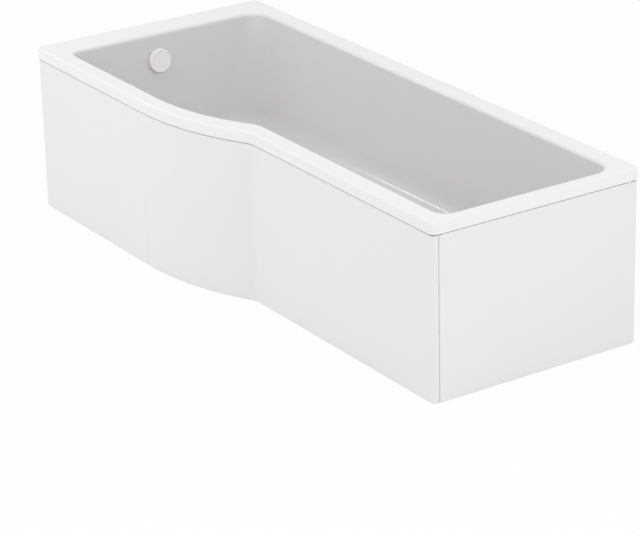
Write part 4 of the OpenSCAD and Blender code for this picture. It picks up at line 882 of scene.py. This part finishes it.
class BATH_OT_tub(bpy.types.Operator):
    """Makes the acrylic tub with its rim, its roll and its holes"""
    bl_idname = "bath.tub"
    bl_label = "Tub"

    def execute(self, context):
        t, form = settings("tub"), TubForm()
        quarter = np.linspace(0, math.pi / 2, ROUND_STEPS + 1)
        lip_z, under_z = t.rim - t.lip, t.rim - t.sheet
        mouth, brim = form.inside(0, -t.roll), form.rim(t.edge)
        rings = form.face(0, wall_rows=8, fillet_rows=14, floor_rows=5, fall=t.fall)
        # Each ring's share of painted shade: full on the floor, fillet and walls, fading out through the
        # roll, and none on the rim, lip and underside.
        inside = [1.0] * len(rings) + [1 - a / (math.pi / 2) for a in quarter[1:]]
        rings += quarter_round(lambda inset: form.inside(0, -inset), t.roll, t.rim, quarter[1:])
        rings += [flat(mouth + (brim - mouth) * share, t.rim) for share in RIM_SHARES]
        rings += quarter_round(form.rim, t.edge, t.rim, quarter[::-1])
        rings += [flat(form.rim(0), z) for z in (t.rim - t.edge - GUARD / 2, lip_z + GUARD, lip_z + LIP_SOFT)]
        rings += quarter_round(form.rim, LIP_SOFT, lip_z, quarter[2::2], way=1)
        rings += [flat(form.rim(t.sheet), lip_z), flat(form.rim(t.sheet), under_z),
                  flat(form.inside(0, -t.sheet), under_z)]
        rings += form.face(t.sheet, wall_rows=8, fillet_rows=8, floor_rows=5, fall=t.fall)[::-1]
        inside += [0.0] * (len(rings) - len(inside))
        tub = Shape().grid(rings, inside=inside).made("tub")

        bored(tub, stand(waste_place(t.floor)), reach=12 * MM)
        bored(tub, overflow_stand(), reach=14 * MM)
        tub.data.set_sharp_from_angle(angle=math.radians(FOLD))
        finish_piece(tub, "acrylic", "bath_shell")
        return {"FINISHED"}


def overflow_stand():
    """The overflow's place, with its Z axis out of the tub's face."""
    return stand(*overflow_place(), across=(0, 1, 0))


def bored(piece, place, reach):
    """Drills a fitting's hole through a piece, as far as reach before and behind a place. The cut's new
    points get the inside's painted shade, which the drill doesn't carry."""
    r = settings("fittings").hole
    rings = turned([(0, -reach), (r, -reach), (r, reach), (0, reach)], place, BORE_SIDES)
    combined(piece, Shape().grid(rings).made("drill"), "DIFFERENCE")
    painted_shade_share = piece.data.attributes.get("inside")
    if painted_shade_share:
        count = len(piece.data.vertices)
        points, values = np.empty(count * 3), np.empty(count)
        piece.data.vertices.foreach_get("co", points)
        painted_shade_share.data.foreach_get("value", values)
        values[np.linalg.norm(points.reshape(-1, 3) - place[0], axis=1) < math.hypot(r, reach) + WELD] = 1
        painted_shade_share.data.foreach_set("value", values)


SINES = 12
PACES = (0.6, 1.8)  # the slowest and the fastest sine, in turns to a grain
CONTRAST = 2.2

# The two layers of dents in the sprayed skin: their grain, their seed and their share of its depth.
DENTS = ((34 * MM, 5, 0.55), (11 * MM, 8, 0.3))


def unevenness(points, grain, seed):
    """A value from 0 to 1 at each point: the mean of sines along fixed chance directions."""
    chance = np.random.default_rng(seed)
    ways = unit(chance.normal(size=(SINES, 3))) * chance.uniform(*PACES, (SINES, 1)) * 2 * math.pi / grain
    starts = chance.uniform(0, 2 * math.pi, SINES)
    return 0.5 + 0.5 * np.clip(np.sin(points @ ways.T + starts).mean(axis=-1) * CONTRAST, -1, 1)


class BATH_OT_backing(bpy.types.Operator):
    """Makes the sprayed glass fibre under the tub, with its rough skin"""
    bl_idname = "bath.backing"
    bl_label = "Glass fibre"

    def execute(self, context):
        t, form = settings("tub"), TubForm(spread=34)
        near = t.sheet + t.bond
        inner = form.face(near, wall_rows=4, fillet_rows=6, floor_rows=3, fall=t.fall)
        smooth, lower = (
            np.array(form.face(near + thick, wall_rows=26, fillet_rows=10, floor_rows=14, fall=0))
            for thick in (t.backing, t.backing / 2))
        dents = sum(unevenness(smooth, grain, seed)[..., None] * depth for grain, seed, depth in DENTS)
        outer = smooth + (lower - smooth) * dents
        outer[0] = outer[0].mean(axis=0)
        coat = Shape().grid(np.concatenate([inner, outer[::-1]])).made("fibre_coat", sharp=70)
        bored(coat, stand(waste_place(t.floor - near)), reach=14 * MM)
        bored(coat, overflow_stand(), reach=22 * MM)
        finish_piece(coat, "fibre", "glass_fibre_backing")
        return {"FINISHED"}


# The panels

PANEL_SOFT = 0.9 * MM  # size of the rounding along the panels' edges
CREASE_SHAPE = [[-1, 0], [-0.5, 1], [0, 0]]  # along the panel and into it, in sizes of the crease


def sizes():
    """The settings of the tub and of the panels, and the tub's form."""
    return settings("tub"), settings("panels"), TubForm()


def joint_turn(inset, way):
    """A panel's rounded edge at the joint and the tip of its return. The way is 1 on the front panel, and
    -1 on the end panel, which starts past the gap."""
    t, p, form = sizes()
    edge = max(p.joint_edge + p.reveal - inset, t.corner / SHARPEST)
    gap, start = (0, 0) if way == 1 else (p.joint_gap, 270)
    y = form.front + form.step + t.corner + p.joint_edge + gap - way * p.joint_edge
    tip = [(form.right - p.reveal - p.joint_return, y + way * edge)]
    return arc(form.right - inset - edge, y, edge, start, start + 90), tip


def front_line(inset):
    """The front panel's line in plan: a return at the shower end, the front with a crease before its
    curve, the corner and a small return at the joint."""
    t, p, form = sizes()
    start = [(form.left + inset, form.front + t.corner + p.wall_return)]
    corner, curve, last_corner = form.front_edge(inset)
    crease = curve[0] + p.crease * np.array(CREASE_SHAPE)
    turn, tip = joint_turn(inset, 1)
    return chained([start, corner, np.concatenate([crease, curve[1:]]), last_corner, turn, tip])


def end_line(inset):
    """The end panel's line in plan: a small return at the joint, the end and a return along the wall."""
    t, p, form = sizes()
    turn, tip = joint_turn(inset, -1)
    bend = wall_parts(form.left + inset, form.right - inset, form.wall - inset, form.corner(inset))[0]
    end = [(form.right - t.corner - p.wall_return, form.wall - inset)]
    return chained([tip, turn, bend, end])


def front_run(inset):
    """The line of the front panel's tongue and flange, without the corners and returns."""
    t, p, form = sizes()
    start = [(form.left + t.corner + p.wall_return, form.front + inset)]
    end = [(form.right - t.corner - p.joint_return, form.front + form.step + inset)]
    return chained([start, form.front_edge(inset)[1], end])


def end_run(inset):
    """The line of the end panel's tongue and flange."""
    t, p, form = sizes()
    x = form.right - inset
    start = [(x, form.front + form.step + t.corner + p.joint_return + p.joint_edge)]
    return chained([start, [(x, form.wall - t.corner - p.wall_return)]])


def swept(name, line, section):
    """A closed section carried along a line that each of its insets draws in, with both ends closed."""
    rows = [flat(line(inset), z) for inset, z in section]
    return Shape().grid(rows, wrap_rows=True, wrap_columns=False, caps=True).made(name)


def box_section(inner, outer, low, high):
    """A rectangle's corners, from the low inner one to the low outer one."""
    return [(inner, low), (inner, high), (outer, high), (outer, low)]


def panel(name, line, run):
    """A panel: its full height face with rounded edges, the stepped tongue behind the lip and the flange
    along its foot, joined into one closed sheet."""
    t, p = settings("tub"), settings("panels")
    top = t.rim - t.lip - p.top_gap
    face_in, tongue_in = p.reveal + p.sheet, t.sheet + p.tongue_gap + p.tongue
    step_top = top - p.step_drop
    face = rounded(box_section(p.reveal, face_in, 0, top), PANEL_SOFT)
    guard = [(p.reveal, z) for z in (GUARD, top / 2, top - GUARD)]
    made = swept(name, line, np.concatenate([face[:5], guard, face[5:]]))
    rail = [(face_in - p.tongue_gap, step_top - p.step), (face_in - p.tongue_gap, step_top),
            (tongue_in - p.tongue, step_top), (tongue_in - p.tongue, top + p.tongue_rise),
            (tongue_in, top + p.tongue_rise), (tongue_in, step_top - p.step)]
    for part in (rail, box_section(p.reveal + p.tongue_gap, p.reveal + p.foot, 0, p.sheet)):
        combined(made, swept("panel_part", run, part), "UNION")
    made.data.set_sharp_from_angle(angle=math.radians(FOLD))
    return made


class BATH_OT_panels(bpy.types.Operator):
    """Makes the curved front panel and the end panel"""
    bl_idname = "bath.panels"
    bl_label = "Panels"

    def execute(self, context):
        for side, line, run in (("front", front_line, front_run), ("end", end_line, end_run)):
            finish_piece(panel(side + "_apron", line, run), "panel", side + "_panel")
        return {"FINISHED"}


# Rods and nuts

LEGS = (1, 2, 3, 4)
ROD_SIDES = 20
PITCH_ROWS = 7  # rings to each turn of the thread
ROD_CHAMFER = 1.2 * MM
NUT_SIDES = 72
NUT_EDGE = 0.5 * MM  # chamfer of the lock nuts' bore
NUT_PLAY = 0.1 * MM  # between a rod and its lock nut
CONE = math.pi / 6  # slope of the cone that takes a lock nut's corners off
CONE_DEPTH = 1.1  # the cone goes this much deeper than the corners need
CONE_ROWS = 6
GRIP_SIDES = 10  # sides to each grip of a hand nut
GRIP_EDGE = 0.6 * MM  # rounding of the hand nuts' ends
GRIP_BEND = 0.3  # the middle of that rounding, as a share of it
GRIP_SLOPE = 0.9  # above 0.5 it cuts the grips' tops and feet flat


def threaded(place, long):
    """Rings of a threaded rod: its radius dips by the thread's depth in a wave that climbs one pitch in
    each turn, and both ends taper over their chamfer."""
    f = settings("fittings")
    a = full_turn(ROD_SIDES)
    z = np.linspace(0, long, int(long / f.pitch * PITCH_ROWS))[:, None]
    wave = 0.5 - 0.5 * np.cos(2 * math.pi * z / f.pitch - a)
    taper = np.clip(ROD_CHAMFER - np.minimum(z, long - z), 0, None)
    radius = np.minimum(f.rod - f.thread * wave, f.rod - taper)
    tip = np.zeros((1, ROD_SIDES))
    return round_axis(place, np.concatenate([tip, radius, tip]), a, np.concatenate([z[:1], z, z[-1:]]))


def hexagonal(place, high):
    """Rings of a hexagon nut: the hexagon's radius, cos 30° over the cosine of the angle from the nearest
    flat's middle, cut off by a cone of 30 degrees at both ends, round a bore with a small chamfer."""
    f, a = settings("fittings"), full_turn(NUT_SIDES)
    bore = f.rod + NUT_PLAY
    flat_radius = f.lock_nut * math.cos(CONE)
    hexagon = flat_radius / np.cos(a % (math.pi / 3) - math.pi / 6)
    depth = (f.lock_nut - flat_radius) * math.tan(CONE)
    cone = np.linspace(0, 1, CONE_ROWS) * depth * CONE_DEPTH
    rows = [(z, np.minimum(hexagon, flat_radius + z / math.tan(CONE))) for z in cone]
    rows += [(high - z, radius) for z, radius in rows[::-1]]
    rows += [(z, np.full(NUT_SIDES, radius)) for z, radius in (
        (high, bore + NUT_EDGE), (high - NUT_EDGE, bore), (NUT_EDGE, bore), (0, bore + NUT_EDGE))]
    z, radius = zip(*rows)
    return round_axis(place, np.array(radius), a, np.array(z)[:, None])


def hand_nut(name, place, radius, high, inner, kind, body="bath"):
    """A nut that is turned by hand: plain rounded ends, and grips between them that rise and fall round
    it as a sine with its tops and feet cut flat. The list inner leads from its top edge back to its foot."""
    f = settings("fittings")
    low = radius - f.grip_depth

    def notch(a):
        t = np.clip(0.5 + GRIP_SLOPE * np.sin(a * f.grips), 0, 1)
        return t * t * (3 - 2 * t)

    foot = [(low - GRIP_EDGE, 0, 0), (low - GRIP_EDGE * GRIP_BEND, GRIP_EDGE * GRIP_BEND, 0),
            (low, GRIP_EDGE, 0), (radius, GRIP_EDGE + f.grip_depth, f.grip_depth)]
    outer = foot + [(r, high - z, grip) for r, z, grip in foot[::-1]]
    rings = turned(outer + inner, place, f.grips * GRIP_SIDES, notch)
    nut = Shape().grid(rings, wrap_rows=True).made("ribbed_" + name, sharp=50)
    finish_piece(nut, kind, name, body)


class BATH_OT_legs(bpy.types.Operator):
    """Makes the threaded rods and their lock nuts"""
    bl_idname = "bath.legs"
    bl_label = "Rods and nuts"

    def execute(self, context):
        spots = []
        for i in LEGS:
            node = f"leg_rod_{i}"
            middle = node_middle(node)
            spots.append((middle.x, middle.y))
            rings = threaded(stand((*spots[-1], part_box(node)[0].z)), span_of(node, 2))
            rod = Shape().grid(rings).made(f"threaded_rod_{i}", sharp=80)
            finish_piece(rod, "steel", node, f"leg_{i}")
        for node in ("upper_lock_nuts", "lower_lock_nuts"):
            nuts = Shape()
            for x, y in spots:
                nuts.grid(hexagonal(stand((x, y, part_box(node)[0].z)), span_of(node, 2)), wrap_rows=True)
            made = nuts.made(node.replace("lock", "hexagon"), sharp=25)
            finish_piece(made, "steel", node)
        return {"FINISHED"}


HOSE_NUT = 19.5 * MM  # radius of the hose's nuts
HOSE_NUT_START = 16 * MM  # from a hose nut's start to the end of the spout or union in it
HOSE_NUT_GAP = 0.2 * MM  # between the hose and its nuts
NUT_LIP = 4 * MM  # thickness of the hand nuts' inner lips

# The other hand nuts: the axis, the radius in millimetres, the wide and the narrow radius of the bore,
# whether the lip is at the low end, the finish and the body.
HAND_NUTS = {
    "trap_union_nut": (2, 30, 23.2, 19.2, True, "nut", "bath"),
    "trap_collar_nut": (2, 27, 23.2, 19.2, False, "nut", "bath"),
    "outlet_nut": (1, 27, 23.4, 20.4, False, "cap", "outlet"),
    "trap_cleaning_cap": (1, 26, 22.2, 0, True, "cap", "bath"),
}


class BATH_OT_hand_nuts(bpy.types.Operator):
    """Makes the ribbed nuts of the hose and the trap, and the cleaning cap"""
    bl_idname = "bath.hand_nuts"
    bl_label = "Hand nuts"

    def execute(self, context):
        out, up = overflow_place()[1], on_overflow(0, 1) - on_overflow(0, 0)
        long, bore = span_of("lower_hose_nut", 0), settings("fittings").hose + HOSE_NUT_GAP
        union_start = waste_place(UNION_Z) - (UNION_REACH + HOSE_NUT_START, 0, 0)
        for name, place in (
                ("upper_hose_nut", stand(on_overflow(-SPOUT_BACK, -SPOUT - HOSE_NUT_START), up, out)),
                ("lower_hose_nut", stand(union_start, (1, 0, 0), (0, 1, 0)))):
            hand_nut(name, place, HOSE_NUT, long, [(bore, long), (bore, 0)], "nut")

        for name, (axis, radius, wide, narrow, lip_low, kind, body) in HAND_NUTS.items():
            origin, high = node_middle(name), span_of(name, axis)
            origin[axis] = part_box(name)[0][axis]
            wide, narrow = wide * MM, narrow * MM
            inner = ([(wide, high), (wide, NUT_LIP), (narrow, NUT_LIP), (narrow, 0)] if lip_low else
                     [(narrow, high), (narrow, high - NUT_LIP), (wide, high - NUT_LIP), (wide, 0)])
            way = (0, 0, 1) if axis == 2 else (0, 1, 0)
            hand_nut(name, stand(origin, way), radius * MM, high, inner, kind, body)
        return {"FINISHED"}


# The stage

FLOOR_RADIUS = 30
FLOOR_DROP = 0.3 * MM  # the floor lies this far under the feet
LAMP_AIM = (0, 0, 0.3)  # the place that all lamps shine at

# Each lamp's place, its length and width, and whether it shows in glossy surfaces.
LAMPS = {
    "front": ((-1.1, -3.3, 2.9), (2.4, 2.4), False),
    "side": ((3.9, 0, 2.6), (2.4, 2.4), False),
    "glint": ((-3.35, -1.3, 2.6), (0.4, 0.08), True),
}


class BATH_OT_stage(bpy.types.Operator):
    """Sets the white floor, the even light and the lamps"""
    bl_idname = "bath.stage"
    bl_label = "Stage"

    def execute(self, context):
        s = settings("studio")
        context.scene.view_settings.view_transform = "Standard"
        world = bpy.data.worlds.new("studio")
        context.scene.world = world
        w = Sheet(world)
        seen = w.plainly_seen()
        even = w.add("Background", {"Color": (1, 0.99, 1, 1), "Strength": s.ambient})
        white = w.add("Background", {"Color": (1, 1, 1, 1), "Strength": 1.0})
        w.close(w.shaders_mixed(seen, even, white), "World")

        bpy.ops.mesh.primitive_circle_add(vertices=96, radius=FLOOR_RADIUS, fill_type="NGON",
                                          location=(0, 0, -FLOOR_DROP))
        floor = context.object
        floor.name = "studio_floor"
        f = Sheet(bpy.data.materials.new("studio_floor"))
        seen = f.plainly_seen() * s.floor
        mat = f.add("BsdfDiffuse", {"Color": (0.86, 0.86, 0.87, 1)})
        glow = f.add("Emission", {"Color": (1, 1, 1, 1), "Strength": 1.0})
        floor.data.materials.append(f.close(f.shaders_mixed(seen, mat, glow)))

        for name, (place, size, glossy) in LAMPS.items():
            data = bpy.data.lights.new(name + "_lamp", "AREA")
            data.energy, data.shape, data.size, data.size_y = getattr(s, name), "RECTANGLE", *size
            lamp = placed(name + "_lamp", data)
            lamp.location, lamp.visible_glossy = place, glossy
            lamp.rotation_euler = Matrix(stand(place, Vector(place) - Vector(LAMP_AIM))[1].T).to_euler()
        return {"FINISHED"}


# Finishes of the CAD nodes that no piece stands for

NODE_FINISHES = {
    "board": ["base_board"],
    "timber_x": ["rim_batten_wall", "rim_batten_narrow_front", "rim_batten_wide_front"],
    "timber_y": ["rim_batten_shower_end", "rim_batten_backrest_end"],
    "steel": ["panel_clips", "panel_clip_screws", "channel_screws", *(f"leg_foot_{i}" for i in LEGS),
              "knob_spindle", "knob_grub_screw", "rocker_pin"],
    "galvanised": ["leg_channel_wide", "leg_channel_narrow"],
    "white": ["overflow_face", "overflow_knob", "waste_flange", "waste_plug", "plug_stem", "lift_rocker"],
    "dark": ["overflow_housing", "waste_body"],
    "trap": ["trap_body", "trap_outlet_elbow"],
    "rubber": ["overflow_gasket", "waste_seal", "plug_seal", "outlet_seal", "trap_washer", "trap_cap_seal",
               "trap_riser_seal"],
    "foam": ["flange_gasket"],
}


class BATH_OT_dress(bpy.types.Operator):
    """Gives each of the frame's own nodes its finish"""
    bl_idname = "bath.dress"
    bl_label = "Finish the frame"

    def execute(self, context):
        for kind, nodes in NODE_FINISHES.items():
            for node in nodes:
                dressed(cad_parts[node].data, kind)
        return {"FINISHED"}


# The panel in the sidebar, and the add-on's frame

class BATH_PT_panel(bpy.types.Panel):
    """Lists the bath's sizes, colours and steps"""
    bl_idname = "BATH_PT_panel"
    bl_label = "Shower bath"
    bl_space_type = "VIEW_3D"
    bl_region_type = "UI"
    bl_category = "Bath"

    def draw(self, context):
        for name, group in GROUPS.items():
            box = self.layout.box()
            box.label(text=name.capitalize())
            for key in group.__annotations__:
                box.prop(settings(name), key)
        for operator in OPERATORS:
            self.layout.operator(operator.bl_idname)


GROUPS = {"tub": BATH_PG_tub, "panels": BATH_PG_panels, "fittings": BATH_PG_fittings,
          "finish": BATH_PG_finish, "studio": BATH_PG_studio}
OPERATORS = [BATH_OT_camera, BATH_OT_hose, BATH_OT_tub, BATH_OT_backing, BATH_OT_panels, BATH_OT_legs,
             BATH_OT_hand_nuts, BATH_OT_dress, BATH_OT_stage]
CLASSES = [*GROUPS.values(), *OPERATORS, BATH_PT_panel]


def register():
    for kind in CLASSES:
        bpy.utils.register_class(kind)
    for name, group in GROUPS.items():
        setattr(bpy.types.Scene, "bath_" + name, bpy.props.PointerProperty(type=group))


def unregister():
    for name in GROUPS:
        delattr(bpy.types.Scene, "bath_" + name)
    for kind in reversed(CLASSES):
        bpy.utils.unregister_class(kind)


def main():
    """Registers the add-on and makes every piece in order."""
    register()
    for operator in OPERATORS:
        getattr(bpy.ops.bath, operator.bl_idname.split(".")[1])()


if __name__ == "__main__":
    main()
